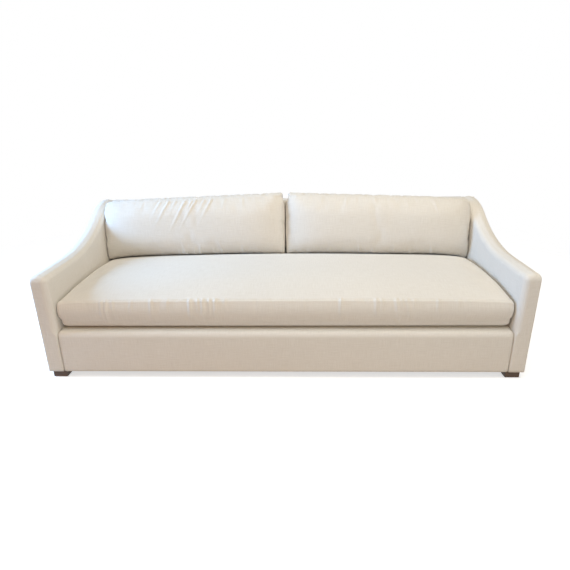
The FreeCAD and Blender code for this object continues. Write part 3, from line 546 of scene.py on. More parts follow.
# Settings of the cloth that the cushion covers are blown up with
CLOTH = {
    "quality": 6, "mass": 0.25, "tension_stiffness": 18, "compression_stiffness": 12, "shear_stiffness": 8,
    "bending_stiffness": 0.6, "use_pressure": True, "uniform_pressure_force": 4.0, "vertex_group_mass": "held",
    "vertex_group_shrink": "taut",
}
CLOTH_FRAMES = 20
# Reach of the tight cloth beside a seam
TAUT_REACH = 0.012


def settle(piece, held, slack, cap):
    """Blows up a cushion cover as cloth. held are the points that stay, slack is the extra length of the cloth away
    from its seams, and cap is how far each point may move."""
    mesh = piece.data
    rest = coords(mesh)
    group = piece.vertex_groups.new(name="held")
    group.add(np.nonzero(held)[0].tolist(), 1.0, "REPLACE")
    tight = piece.vertex_groups.new(name="taut")
    tenths = np.round(np.exp(-(seam_distance(mesh) / TAUT_REACH) ** 2) * 10).astype(int)
    for tenth in range(1, 11):
        tight.add(np.nonzero(tenths == tenth)[0].tolist(), tenth / 10, "REPLACE")
    cloth = piece.modifiers.new("Cloth", "CLOTH")
    for name, value in CLOTH.items():
        setattr(cloth.settings, name, value)
    cloth.settings.shrink_min = -slack
    cloth.settings.shrink_max = 0.0
    cloth.settings.effector_weights.gravity = 0
    cloth.collision_settings.use_collision = False
    cloth.collision_settings.use_self_collision = False
    cloth.point_cache.frame_end = CLOTH_FRAMES
    scene = bpy.context.scene
    for number in range(1, CLOTH_FRAMES + 1):
        scene.frame_set(number)
    shown = piece.evaluated_get(bpy.context.evaluated_depsgraph_get())
    moved = coords(shown.to_mesh()) - rest
    shown.to_mesh_clear()
    piece.modifiers.clear()
    piece.vertex_groups.clear()
    scene.frame_set(1)
    far = np.linalg.norm(moved, axis=1)
    share = np.minimum(1.0, cap / np.maximum(far, 1e-9))
    set_coords(mesh, rest + moved * share[:, None])


def end_face(loop, front, top):
    """A grid that closes the end of a tube: front and top are the steps of those sides, which the others match."""
    around = np.concatenate([loop, loop[:1]])
    west = around[:front + 1]
    north = around[front:front + top + 1]
    east = around[front + top:2 * front + top + 1][::-1]
    south = around[2 * front + top:][::-1]
    u = np.linspace(0, 1, top + 1)[None, :, None]
    v = np.linspace(0, 1, front + 1)[:, None, None]
    sides = (1 - u) * west[:, None] + u * east[:, None] + (1 - v) * south[None] + v * north[None]
    corners = (1 - u) * (1 - v) * west[0] + u * (1 - v) * east[0] + (1 - u) * v * west[-1] + u * v * east[-1]
    return sides - corners


def loft(cuts, xs):
    """Loops of points from cuts in Y and Z at places along X, and the number of points on each side of a cut."""
    counts = [len(side) for side in cuts[0]]
    loops = np.zeros((len(xs), sum(counts), 3))
    loops[:, :, 0] = xs[:, None]
    loops[:, :, 1:] = [np.concatenate(cut) for cut in cuts]
    return loops, counts


def tube(name, loops, counts, sewn, front, top, flip=False):
    """A closed piece from loops of points at places along X. Each loop runs up the front, back over the top, down the
    rear and forward under the base. counts and sewn hold the steps and the sewn edges of each length of cloth round
    the loop, and front and top the steps of those sides of its ends."""
    patches = []
    start = 0
    for steps, edges in zip(counts, sewn):
        index = np.arange(start, start + steps + 1) % loops.shape[1]
        patches.append(patch(loops[:, index].transpose(1, 0, 2), edges, (0.37 * start, 0.53 * start)))
        start += steps
    for end in (0, -1):
        patches.append(patch(end_face(loops[end], front, top), shift=(0.71, 0.29)))
    return sewn_mesh(name, mirrored(patches) if flip else patches)


def lens(name, grid, out, thickness, roll=0.004):
    """A thin closed sheet on a grid of points: out is the way its face looks, and its edges are rolled in."""
    out = np.asarray(out, float)
    down = run_lengths(grid, 0)
    along = run_lengths(grid, 1)
    edge = np.min([down, down[-1:] - down, along, along[:, -1:] - along], axis=0)
    rise = 1 - np.exp(-(edge / roll) ** 2)
    # Face and lining meet in the edge, at this share of the thickness
    meet = 0.6
    face = grid - out * (thickness * meet * (1 - rise))[:, :, None]
    lining = grid - out * (thickness * (meet + (1 - meet) * rise))[:, :, None]
    return sewn_mesh(name, [patch(face), patch(lining)], merge=5e-6)


def hand_over(piece, body, slot, nodes, look=None):
    """Gives a finished piece its material, the body that it rides on and the CAD nodes that it stands for. look is
    the material where it isn't that of the slot."""
    piece.data.materials.clear()
    piece.data.materials.append(finish(look or slot))
    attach(piece, body)
    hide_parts(*nodes)
    return piece


# Arms

def arm_top(sizes, y, inset=0.0):
    """Height of an arm's top at y, or of a line drawn in below it."""
    total = sizes.arm_sweep + sizes.arm_crest
    turn = math.acos(1 - (TOP - sizes.arm_front_height) / total)
    crest_y = REAR - sizes.arm_level
    sweep_y = crest_y - total * math.sin(turn)
    hollow = sizes.arm_sweep + inset
    crest = sizes.arm_crest - inset
    rising = np.clip(y - sweep_y, 0, None)
    falling = np.clip(crest_y - y, 0, crest)
    on_sweep = sizes.arm_front_height + sizes.arm_sweep - np.sqrt(hollow ** 2 - rising ** 2)
    on_crest = TOP - sizes.arm_crest + np.sqrt(crest ** 2 - falling ** 2)
    return np.where(y < sweep_y + hollow * math.sin(turn), on_sweep, on_crest)


# Depth of the hollow that the outside panel lies in and of the steps at its edge, room from the arm's rounding to the
# hollow, gap from there to the panel, and the rear end of both
PANEL_TUCK = 0.0021
TUCK_STEPS = (0.0015, 0.0003)
PANEL_MARGIN = 0.003
PANEL_GAP = 0.0008
PANEL_END = REAR - HAIR - 0.002
# The outer edges are tighter than the inner ones, close over the posts of the frame: their rounding, and the share of
# the drawing in at the front that the outer side takes
OUTER_ROUND = 0.024
OUTER_DRAW = 0.36
# Steps up an arm's side to its panel seam, from there to the rounding, round the edge and across the top
SIDE_STEPS, SEAM_STEPS, EDGE_STEPS, TOP_STEPS = 34, 3, 7, 10
# Least room between the panel's seam and the rounding, and the height of the step at the seam
SEAM_ROOM = 0.002
SEAM_STEP = 0.0015
# Height and wave length of the unevenness of an arm's padding, and the height where it is free of the cushions
ARM_UNEVEN = 0.0011
ARM_WAVE = 0.24
ARM_FREE = 0.52


def arm_stations(sizes):
    """Places along Y where the arm is cut, and how far each cut is drawn in to round the front edges."""
    quarter = np.linspace(0, math.pi / 2, 9)
    ys = FRONT + sizes.arm_round * (1 - np.cos(quarter))
    draws = sizes.arm_round * (1 - np.sin(quarter))
    seam_y = FRONT + sizes.arm_round + PANEL_MARGIN
    rest = seam_y + spaced(PANEL_END - seam_y, 0.011, 0.002)
    return np.concatenate([ys, rest]), np.concatenate([draws, np.zeros(len(rest))])


def arm_side(seam_z, edge_z):
    """Heights up one side of an arm: from its foot to the panel's seam, and past it to the rounding of its edge."""
    high = min(seam_z, edge_z - SEAM_ROOM)
    return np.concatenate([
        BASE + spaced(1.0, 1 / SIDE_STEPS) * (high - SEAM_STEP - BASE), np.linspace(high, edge_z, SEAM_STEPS + 1)])


def arm_cut(sizes, y, drawn):
    """Outline of the left arm across X at y, from its outer foot over its top to its inner foot."""
    top = float(arm_top(sizes, y)) - drawn
    outer = -HALF_WIDTH + OUTER_DRAW * drawn
    tight = OUTER_ROUND - OUTER_DRAW * drawn
    corner = sizes.arm_round - drawn
    seam_z = float(arm_top(sizes, y, sizes.arm_round + PANEL_MARGIN))
    outside = arm_side(seam_z, top - tight)
    inside = arm_side(seam_z, top - corner)
    tuck = np.zeros(len(outside))
    if y > FRONT + sizes.arm_round + PANEL_MARGIN + 0.001:
        tuck[:-4] = PANEL_TUCK
        tuck[-4:-2] = TUCK_STEPS
    # Beside the front rail the inner front edge is nearly sharp, so that rail and arm meet in a seam
    free = np.clip((inside - RAIL_HIGH.z + 0.03) / 0.05, 0, 1)
    inner = -ARM_INNER - drawn * (0.1 + 0.9 * free * free * (3 - 2 * free))
    turn = np.linspace(0, math.pi / 2, EDGE_STEPS + 1)[1:]
    back = turn[:-1][::-1]
    across = np.linspace(0, 1, TOP_STEPS + 1)[1:]
    dome = sizes.arm_dome * corner / sizes.arm_round
    x = np.concatenate([
        outer + tuck, outer + tight - tight * np.cos(turn),
        outer + tight + across * (inner[-1] - corner - outer - tight), inner[-1] - corner + corner * np.cos(back),
        inner[::-1]])
    z = np.concatenate([
        outside, top - tight + tight * np.sin(turn), top + dome * (1 - (2 * across - 1) ** 2),
        top - corner + corner * np.sin(back), inside[::-1]])
    return np.stack([x, np.full(len(x), y), z], axis=1)


def arm_piece(sizes, side):
    """One arm: its skin, its front face and its foot, with the outer side tucked in behind the outside panel."""
    ys, draws = arm_stations(sizes)
    skin = np.array([arm_cut(sizes, y, drawn) for y, drawn in zip(ys, draws)])
    across = np.linspace(0, 1, TOP_STEPS + 1)[None, :, None]
    foot = skin[:, 0][:, None] * (1 - across) + skin[:, -1][:, None] * across
    height = SIDE_STEPS + SEAM_STEPS + EDGE_STEPS + 1
    face = end_face(np.concatenate([skin[0], foot[0, 1:-1][::-1]]), height, TOP_STEPS)
    patches = [patch(skin, turn=True), patch(face), patch(foot)]
    piece = sewn_mesh("arm_upholstery_" + side, mirrored(patches) if SIDES[side] > 0 else patches)
    points = coords(piece.data)
    # The inside stays flat where the cushions slide past it, and the padding is uneven above
    loose = np.clip((points[:, 2] - ARM_FREE) / 0.08, 0, 1) + np.clip((FRONT + 0.06 - points[:, 1]) / 0.04, 0, 1)
    inside = np.abs(points[:, 0]) < ARM_INNER + 0.004
    uneven = ripple(points, 11 + SIDES[side], ARM_WAVE) * ARM_UNEVEN
    shift = np.where(inside, np.minimum(uneven, 0.0), uneven) * np.clip(loose, 0.15, 1)
    shift = np.where(np.abs(points[:, 0]) > HALF_WIDTH - 0.02, np.maximum(shift, 0.0), shift)
    push_out(piece.data, np.where(points[:, 1] > REAR - 0.012, 0, shift))
    return piece


class SOFA_OT_arms(bpy.types.Operator):
    """Makes the two slope arms, padded and covered in linen"""

    bl_idname = "sofa.arms"
    bl_label = "Slope arms"

    def execute(self, context):
        for side in SIDES:
            piece = arm_piece(context.scene.sofa_sizes, side)
            hand_over(piece, "frame", "oatmeal_linen", ["arm_cover_" + side, "arm_pad_" + side])
        return {"FINISHED"}


# Outside panels and dust cover

PANEL_THICKNESS = 0.0016
# Swell of the padding behind the outside panels
ARM_PANEL_SWELL = 0.0012
BACK_PANEL_SWELL = 0.002


def arm_panel(sizes, side):
    """The flat panel on the outside of an arm, its flat size and the area of its cut."""
    start = FRONT + sizes.arm_round + PANEL_MARGIN + PANEL_GAP
    ys = start + spaced(PANEL_END - start, 0.014, 0.002)
    tops = arm_top(sizes, ys, sizes.arm_round + PANEL_MARGIN) - PANEL_GAP
    rows = spaced(1.0, 0.03, 0.004)[:, None]
    z = BASE + HAIR + rows * (tops - BASE - HAIR)
    swell = ARM_PANEL_SWELL * np.sin(math.pi * rows) * np.sin(math.pi * (ys - start) / (ys[-1] - start))
    x = np.full_like(z, HALF_WIDTH) + swell
    grid = np.stack([x * SIDES[side], np.broadcast_to(ys, z.shape), z], axis=2)
    piece = lens("outside_arm_" + side, grid, (SIDES[side], 0, 0), PANEL_THICKNESS)
    area = float(np.sum((tops[1:] + tops[:-1]) / 2 * np.diff(ys)) - BASE * (ys[-1] - start))
    return piece, (float(ys[-1] - start), float(tops.max() - BASE)), area


def back_panel():
    """The flat panel on the outside of the back, and its flat size."""
    low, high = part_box("outside_back_panel")
    size = high - low
    x, z = np.meshgrid(low.x + spaced(size.x, 0.03, 0.002), low.z + spaced(size.z, 0.02, 0.002))
    swell = np.sin(math.pi * (x - low.x) / size.x) * np.sin(math.pi * (z - low.z) / size.z)
    grid = np.stack([x, np.full_like(x, high.y) + BACK_PANEL_SWELL * swell, z], axis=2)
    return lens("outside_back", grid, (0, 1, 0), high.y - low.y), (high.x - low.x, high.z - low.z)


def dust_sheet():
    """The thin cloth that closes the frame from below, and its flat size."""
    low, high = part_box("dust_cover")
    x, y = np.meshgrid(
        low.x + spaced(high.x - low.x, 0.05, 0.004), low.y + spaced(high.y - low.y, 0.05, 0.004))
    grid = np.stack([x, y, np.full_like(x, low.z)], axis=2)
    return lens("dust_sheet", grid, (0, 0, -1), high.z - low.z), (high.x - low.x, high.y - low.y)


class SOFA_OT_panels(bpy.types.Operator):
    """Makes the outside arm panels, the outside back panel and the dust cover"""

    bl_idname = "sofa.panels"
    bl_label = "Outside panels"

    def execute(self, context):
        for side in SIDES:
            piece, flat, area = arm_panel(context.scene.sofa_sizes, side)
            hand_over(piece, "frame", "oatmeal_linen", ["outside_arm_panel_" + side])
        piece, flat = back_panel()
        hand_over(piece, "frame", "oatmeal_linen", ["outside_back_panel"])
        piece, flat = dust_sheet()
        hand_over(piece, "frame", "dust_cloth", ["dust_cover"])
        return {"FINISHED"}


# Padded rail, inside back and deck

def drawn_in(loops, xs, radius, hold):
    """Rounds the ends of a tube: each loop shrinks towards its middle by a quarter circle near the ends.
    hold is the share of the shrinking that each point takes, from 0 to 1."""
    away = np.minimum(xs - xs[0], xs[-1] - xs)
    into = np.clip(radius - away, 0, radius)
    shrink = radius - np.sqrt(radius ** 2 - into ** 2)
    middle = (loops.min(axis=1) + loops.max(axis=1)) / 2
    half = (loops.max(axis=1) - loops.min(axis=1)) / 2
    half[:, 0] = 1.0
    share = shrink[:, None, None] / half[:, None, :] * np.array([0.0, 1.0, 1.0])
    return loops - (loops - middle[:, None]) * share * hold[None, :, None]


def spread(points, steps):
    """Points evenly spaced along a line through given ones."""
    points = np.asarray(points, float)
    runs = np.concatenate([[0], np.cumsum(np.linalg.norm(np.diff(points, axis=0), axis=1))])
    places = np.linspace(0, runs[-1], steps + 1)
    return np.stack([np.interp(places, runs, points[:, i]) for i in range(points.shape[1])], axis=1)


def corner_arc(y, z, radius, start, end, count=7):
    turn = np.linspace(start, end, count)
    return np.stack([y + radius * np.cos(turn), z + radius * np.sin(turn)], axis=1)


def swept(name, outline, xs, counts, round_ends, free):
    """A padded piece with one outline in Y and Z all along X: outline holds its front, top, rear and base, counts
    their steps and free the share of the rounding at the ends that each takes."""
    sides = [spread(run, count)[:-1] for run, count in zip(outline, counts)]
    hold = np.concatenate([np.full(len(side), float(share)) for side, share in zip(sides, free)])
    loops = drawn_in(loft([sides] * len(xs), xs)[0], xs, round_ends, hold)
    return tube(name, loops, counts, [""] * len(counts), counts[0], counts[1])


# Swell of the front rail's face, and the unevenness of its padding, less outwards than inwards
RAIL_SWELL = 0.0018
RAIL_UNEVEN = 0.0012
RAIL_UNEVEN_OUT = 0.0004


def front_rail(sizes):
    """The padded front rail: rounded along its top edge and at its ends."""
    low, high = RAIL_LOW, RAIL_HIGH
    radius = sizes.rail_round
    edge_y, edge_z = low.y + radius, high.z - radius
    xs = low.x + spaced(high.x - low.x, 0.02, 0.0015)
    swell = [
        (low.y - RAIL_SWELL * math.sin(math.pi * v), low.z + v * (edge_z - low.z)) for v in np.linspace(0, 1, 9)]
    front = np.concatenate([swell, corner_arc(edge_y, edge_z, radius, math.pi, math.pi * 0.75)])
    top = np.concatenate([
        corner_arc(edge_y, edge_z, radius, math.pi * 0.75, math.pi / 2), [(high.y, high.z)]])
    outline = [front, top, [(high.y, high.z), (high.y, low.z)], [(high.y, low.z), (low.y, low.z)]]
    piece = swept("front_rail_upholstery", outline, xs, (22, 12, 22, 12), round_ends=0.013, free=(1, 1, 0, 0))
    points = coords(piece.data)
    uneven = ripple(points, seed=21, wave=0.3) * RAIL_UNEVEN * np.clip((high.y - 0.03 - points[:, 1]) / 0.03, 0, 1)
    uneven *= np.clip((points[:, 2] - low.z) / 0.03, 0, 1)
    push_out(piece.data, np.minimum(uneven, RAIL_UNEVEN_OUT))
    return piece


def inside_back(sizes):
    """The padded inside back, leaning back, with a rounded top edge."""
    low, high = BACK_LOW, BACK_HIGH
    radius = sizes.back_round
    lean = sizes.back_lean
    xs = low.x + spaced(high.x - low.x, 0.03, 0.003)
    edge_z = high.z - radius
    edge_y = low.y + math.tan(lean) * (edge_z - low.z)
    bend = corner_arc(edge_y + radius * math.cos(lean), edge_z, radius, math.pi - lean, math.pi / 2)
    front = np.concatenate([[(low.y, low.z)], bend[:4]])
    top = np.concatenate([bend[3:], [(high.y, bend[-1][1])]])
    outline = [front, top, [(high.y, bend[-1][1]), (high.y, low.z)], [(high.y, low.z), (low.y, low.z)]]
    return swept("inside_back", outline, xs, (30, 12, 30, 12), round_ends=0.006, free=(1, 1, 0, 0))


def deck():
    """The sprung deck's pad under its platform cloth."""
    low_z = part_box("deck_pad")[0].z
    front, rear = DECK_LOW.y, DECK_HIGH.y
    xs = -ARM_INNER + HAIR + spaced(2 * (ARM_INNER - HAIR), 0.05, 0.004)
    outline = [
        [(front, low_z), (front, DECK)], [(front, DECK), (rear, DECK)],
        [(rear, DECK), (rear, low_z)], [(rear, low_z), (front, low_z)]]
    return swept("seat_deck", outline, xs, (4, 30, 4, 30), round_ends=0.003, free=(0, 0, 0, 0))


class SOFA_OT_frame_pads(bpy.types.Operator):
    """Makes the padded front rail, the inside back and the seat deck"""

    bl_idname = "sofa.frame_pads"
    bl_label = "Rail, inside back and deck"

    def execute(self, context):
        sizes = context.scene.sofa_sizes
        rail = hand_over(front_rail(sizes), "frame", "oatmeal_linen", ["front_rail_cover", "front_rail_pad"])
        back = hand_over(inside_back(sizes), "frame", "oatmeal_linen", ["back_cover", "back_pad"])
        base = hand_over(deck(), "frame", "deck_lining", ["deck_cloth", "deck_pad"])
        return {"FINISHED"}


# Seat cushion

SEAT_HALF = SEAT_HIGH.x
SEAT_REAR = SEAT_HIGH.y
SEAT_FRONT = FRONT + 0.030
# Crown that is left at the ends, and how much more the end beside the right arm stands up
SEAT_END = 0.030
SEAT_END_RIGHT = 0.012
# How far the rear corners sink between the arms and the back, and how full the top is towards its edges
SEAT_SINK = 0.020
SEAT_FULLNESS = 2.9
# The top seam's place behind the front, and how far it comes forward and drops at the corners
SEAM_BEHIND = 0.010
CORNER_AHEAD = 0.004
CORNER_DROP = 0.007
# Height of the band's lower seam over the deck
SEAT_LOW_SEAM = 0.047
# The underside rises off the rail, so that a dark gap shows below the front: places behind the front edge, and heights
UNDER_BEHIND = np.array([0.085, 0.048, 0.024, 0.007, 0.0])
UNDER_LIFT = [0.0, 0.003, 0.006, 0.018]
# The seat's seams are drawn in less deeply than the others
SEAT_SEAM_SHARE = 0.7


def seat_edges(sizes, x):
    """Height of the seat cushion's seam, its front and its crown over the seam, at x."""
    share = np.clip(np.abs(x) / SEAT_HALF, 0, 1)
    corner = share ** 16
    seam = DECK + sizes.seat_band + sizes.seat_seam_rise * (1 - share ** 2) - CORNER_DROP * corner
    front = SEAT_FRONT + SEAM_BEHIND - CORNER_AHEAD * corner
    end = SEAT_END + SEAT_END_RIGHT * np.clip(x / SEAT_HALF, 0, 1) ** 2
    crown = end * (1 - 0.15 * share ** 30) + (sizes.seat_crown - end) * (1 - share ** 2)
    return seam, front, crown


def seat_top(sizes, x, y):
    """Height of the seat cushion's top at a place."""
    seam, front, crown = seat_edges(sizes, x)
    place = np.clip(2 * (y - front) / (SEAT_REAR - front) - 1, -1, 1)
    sunk = SEAT_SINK * np.clip(np.abs(x) / SEAT_HALF, 0, 1) ** 12 * np.clip((place + 0.1) / 1.1, 0, 1) ** 2
    return seam + crown * (1 - np.abs(place) ** SEAT_FULLNESS) - sunk


def seat_loop(sizes, x):
    """Outline of the seat cushion across Y at x: under its front edge, its band, its top, its rear and its base."""
    seam, front, _ = seat_edges(sizes, x)
    corner = (abs(x) / SEAT_HALF) ** 24
    base = DECK + HAIR
    low_y = front + 0.001 + 0.010 * corner
    waver = 0.0025 * math.sin(5.1 * x + 0.6) + 0.0015 * math.sin(11.3 * x)
    low_z = DECK + SEAT_LOW_SEAM + 0.006 * corner + waver
    under = np.stack([
        front + UNDER_BEHIND + (low_y - front) * np.linspace(0, 1, 5),
        base + np.array(UNDER_LIFT + [low_z - base])], axis=1)[:-1]
    v = spaced(1.0, 0.085, 0.022)[:-1]
    swell = sizes.seat_bulge * np.sin(math.pi * v ** 0.9) ** 0.85
    band = np.stack([low_y + (front - low_y) * v - swell, low_z + (seam - low_z) * v], axis=1)
    along = spaced(1.0, 0.032, 0.004)[:-1]
    top_y = front + (SEAT_REAR - front) * along
    top = np.stack([top_y, seat_top(sizes, x, top_y)], axis=1)
    fall = np.linspace(0, 1, len(under) + len(band) + 1)[:-1]
    high = float(seat_top(sizes, x, SEAT_REAR))
    rear = np.stack([np.full(len(fall), SEAT_REAR), high + (base - high) * fall], axis=1)
    foot = np.stack([SEAT_REAR + (under[0, 0] - SEAT_REAR) * along, np.full(len(along), base)], axis=1)
    return [under, band, top, rear, foot]


def seat_cushion(sizes):
    """The seat cushion's cover before it is filled."""
    xs = -SEAT_HALF + spaced(2 * SEAT_HALF, 0.013, 0.0015)
    loops, counts = loft([seat_loop(sizes, x) for x in xs], xs)
    hold = np.concatenate([np.full(count, share) for count, share in zip(counts, (1.0, 1.0, 1.0, 0.3, 0.0))])
    loops = drawn_in(loops, xs, radius=0.022, hold=hold)
    return tube(
        "seat_cushion_padded", loops, counts, ("s", "ns", "n", "", ""), counts[0] + counts[1], counts[2])


# Creases of the front band: place along X, lean, width, reach below the seam and height, in metres
SEAT_PUCKERS = [
    (-1.012, 0.02, 0.010, 0.11, 0.0034), (-0.985, -0.03, 0.011, 0.12, 0.0040), (-0.950, 0.05, 0.010, 0.08, 0.0020),
    (-0.845, 0.00, 0.012, 0.07, 0.0014), (-0.732, 0.03, 0.011, 0.09, 0.0026), (-0.640, -0.04, 0.012, 0.06, 0.0014),
    (-0.513, 0.02, 0.011, 0.11, 0.0032), (-0.470, 0.06, 0.010, 0.09, 0.0024), (-0.442, -0.02, 0.011, 0.12, 0.0036),
    (-0.405, 0.04, 0.010, 0.10, 0.0026), (-0.371, -0.03, 0.011, 0.11, 0.0034), (-0.320, 0.05, 0.012, 0.06, 0.0014),
    (0.120, 0.02, 0.012, 0.05, 0.0010), (0.324, -0.02, 0.011, 0.09, 0.0030), (0.516, 0.03, 0.011, 0.08, 0.0032),
    (0.545, -0.04, 0.010, 0.10, 0.0030), (0.624, 0.12, 0.011, 0.12, 0.0036), (0.655, -0.08, 0.010, 0.11, 0.0030),
    (0.682, 0.05, 0.011, 0.10, 0.0028), (0.722, -0.05, 0.011, 0.08, 0.0020), (0.853, 0.03, 0.011, 0.09, 0.0022),
    (0.960, 0.00, 0.012, 0.06, 0.0012)]


def fill_seat_cushion(sizes, piece):
    """Blows up the seat cushion, rounds its front edge, and adds the creases of its band and its seams."""
    points = coords(piece.data)
    held = (points[:, 2] < DECK + 0.004) | (points[:, 1] > SEAT_REAR - 0.004)
    # Under the back cushions the top stays where they rest on it
    ahead = np.clip((0.24 - points[:, 1]) / 0.06, 0, 1)
    settle(piece, held, slack=0.02, cap=0.0015 + 0.0085 * ahead)
    subdivide(piece)
    mesh = piece.data
    points = coords(mesh)
    edge = (seam_distance(mesh) < 0.030) & (points[:, 2] > DECK + 0.12) & (points[:, 1] < SEAT_FRONT + 0.06)
    soften(piece, edge, rounds=14)
    points = coords(mesh)
    below = seat_edges(sizes, points[:, 0])[0] - points[:, 2]
    band = np.clip((SEAT_FRONT + 0.05 - points[:, 1]) / 0.02, 0, 1)
    band *= np.clip((points[:, 2] - DECK - 0.02) / 0.02, 0, 1) * np.clip((below + 0.008) / 0.010, 0, 1)
    places = SEAT_PUCKERS + gathers(seed=5, low=-1.2, high=1.2, spacing=0.07, depth=0.0009, reach=0.07)
    push_out(mesh, pleats(points[:, 0], np.clip(below, 0, None) + 0.010, places) * band)
    draw_seams(mesh, sizes.seam_depth * SEAT_SEAM_SHARE)
    points = coords(mesh)
    points[:, 0] = np.clip(points[:, 0], -ARM_INNER + 0.0006, ARM_INNER - 0.0006)
    points[:, 2] = np.maximum(points[:, 2], DECK + HAIR)
    set_coords(mesh, points)


class SOFA_OT_seat_cushion(bpy.types.Operator):
    """Makes the bench seat cushion, filled out and drawn in at its seams"""

    bl_idname = "sofa.seat_cushion"
    bl_label = "Seat cushion"

    def execute(self, context):
        sizes = context.scene.sofa_sizes
        piece = seat_cushion(sizes)
        fill_seat_cushion(sizes, piece)
        hand_over(piece, "seat_cushion", "oatmeal_linen", ["seat_cushion_cover", "seat_cushion_core"])
        return {"FINISHED"}


# Back cushions

INSIDE_BACK = BACK_LOW.y
CUSHION_MIDDLE = (CUSHION_LOW.x + CUSHION_HIGH.x) / 2
CUSHION_HALF = (CUSHION_HIGH.x - CUSHION_LOW.x) / 2
# Width of the slanted strip that holds the zipper, rounding of the rear top edge, and room over the seat
ZIP_FACET = 0.034
REAR_ROUND = 0.018
SEAT_ROOM = 0.003
# Depth out from the inside back at which a cushion's top is given, and the height that its roll takes there
TOP_DEPTH = 0.125
TOP_ROLL = 0.006
# Steps of the rear's rounding and of its zipper strip
REAR_ROUND_STEPS, FACET_STEPS = 5, 4


def back_place(lean, depth, rise):
    """Y and Z of a place in front of the inside back: depth out from its face, rise up along it from the deck."""
    y = INSIDE_BACK + rise * math.sin(lean) - depth * math.cos(lean)
    z = DECK + rise * math.cos(lean) + depth * math.sin(lean)
    return np.stack(np.broadcast_arrays(y, z), axis=-1)


def rise_at(lean, z, depth):
    return (z - DECK - depth * math.sin(lean)) / math.cos(lean)


def cushion_top(sizes, along):
    """Height of a back cushion's top, from 0 beside the other cushion to 1 at the arm."""
    return sizes.cushion_top_inner * (1 - along) + sizes.cushion_top_outer * along


def cushion_loop(sizes, share):
    """Outline of the right back cushion at a share of its width, from -1 beside the other cushion to 1 at the arm."""
    lean = sizes.back_lean
    x = CUSHION_MIDDLE + share * CUSHION_HALF
    along = (share + 1) / 2
    draw = abs(share) ** 6
    edge = sizes.cushion_edge * (1 - 0.22 * draw)
    crown = sizes.cushion_crown * (1 - 0.3 * draw)
    top = rise_at(lean, cushion_top(sizes, along), TOP_DEPTH)
    top = top - (0.010 if share > 0 else -0.003) * draw - TOP_ROLL
    # The foot follows the seat: a few rounds find where it stands, from a first guess at Y
    y = 0.27
    for _ in range(4):
        foot = rise_at(lean, float(seat_top(sizes, x, y)) + SEAT_ROOM, edge)
        y = back_place(lean, edge, foot)[0]
    v = spaced(1.0, 0.032, 0.010)
    bulge = (1 - np.abs(2 * v - 1) ** 2.5) ** 0.72
    front = back_place(lean, edge + (crown - edge) * bulge, foot + (top - foot) * v)[:-1]
    w = np.linspace(0, 1, 15)[:-1]
    over = back_place(lean, edge + (REAR_ROUND - edge) * w, top + 0.012 * np.sin(math.pi * w))
    seam = DECK + sizes.seat_band + sizes.seat_seam_rise * (1 - along)
    facet = rise_at(lean, seam + 0.007, HAIR + ZIP_FACET)
    turn = np.linspace(0, math.pi / 2, REAR_ROUND_STEPS + 1)[:-1]
    straight = len(front) - REAR_ROUND_STEPS - FACET_STEPS
    down = np.linspace(top - REAR_ROUND, facet + ZIP_FACET, straight + 1)[:-1]
    cut = np.linspace(0, 1, FACET_STEPS + 1)[:-1]
    rear = np.concatenate([
        back_place(lean, HAIR + REAR_ROUND * (1 - np.sin(turn)), top - REAR_ROUND * (1 - np.cos(turn))),
        back_place(lean, HAIR, down), back_place(lean, HAIR + ZIP_FACET * cut, facet + ZIP_FACET * (1 - cut))])
    start = back_place(lean, HAIR + ZIP_FACET, facet)
    base_y = start[0] + (front[0, 0] - start[0]) * w
    base_z = seat_top(sizes, x, base_y) + SEAT_ROOM
    base_z = base_z + (start[1] - base_z[0]) * (1 - w) ** 4
    return [front, over, rear, np.stack([base_y, base_z], axis=1)]


# How far a cushion's upper corners lean away from the other cushion and from the arm
INNER_SLACK = 0.018
OUTER_SLACK = 0.008


def back_cushion(sizes, side):
    """A back cushion's cover before it is filled."""
    shares = -1 + spaced(2 * CUSHION_HALF, 0.010, 0.0015) / CUSHION_HALF
    xs = CUSHION_MIDDLE + shares * CUSHION_HALF
    loops, counts = loft([cushion_loop(sizes, share) for share in shares], xs)
    low = loops[:, :, 2].min()
    high = np.clip((loops[:, :, 2] - low) / (sizes.cushion_top_inner - low), 0, 1)
    slack = np.where(shares[:, None] < 0, INNER_SLACK, OUTER_SLACK) * high ** 1.6
    loops[:, :, 0] = CUSHION_MIDDLE + shares[:, None] * (CUSHION_HALF - slack)
    loops = drawn_in(loops, xs, radius=0.012, hold=np.ones(loops.shape[1]))
    return tube(
        "back_cushion_padded_" + side, loops, counts, ("ns", "n", "", "s"), counts[0], counts[1], SIDES[side] < 0)


# Creases of the front faces: place along X, lean, width, reach from the seam and height, in metres
TOP_PUCKERS = {
    "left": [
        (-0.86, -0.50, 0.013, 0.07, 0.0026), (-0.800, -0.55, 0.012, 0.10, 0.0034), (-0.752, -0.45, 0.011, 0.06, 0.0022),
        (-0.682, -0.55, 0.012, 0.12, 0.0042), (-0.64, -0.40, 0.011, 0.07, 0.0026), (-0.611, -0.60, 0.012, 0.11, 0.0036),
        (-0.552, -0.50, 0.012, 0.06, 0.0022), (-0.504, -0.55, 0.012, 0.09, 0.0032), (-0.41, -0.30, 0.013, 0.05, 0.0014),
        (-0.300, 0.20, 0.013, 0.05, 0.0012), (-0.980, -0.30, 0.013, 0.05, 0.0012)],
    "right": [
        (0.240, 0.20, 0.013, 0.05, 0.0010), (0.420, -0.20, 0.013, 0.06, 0.0012), (0.610, 0.10, 0.013, 0.05, 0.0010),
        (0.820, 0.30, 0.013, 0.06, 0.0012), (1.010, 0.30, 0.012, 0.07, 0.0016)]}
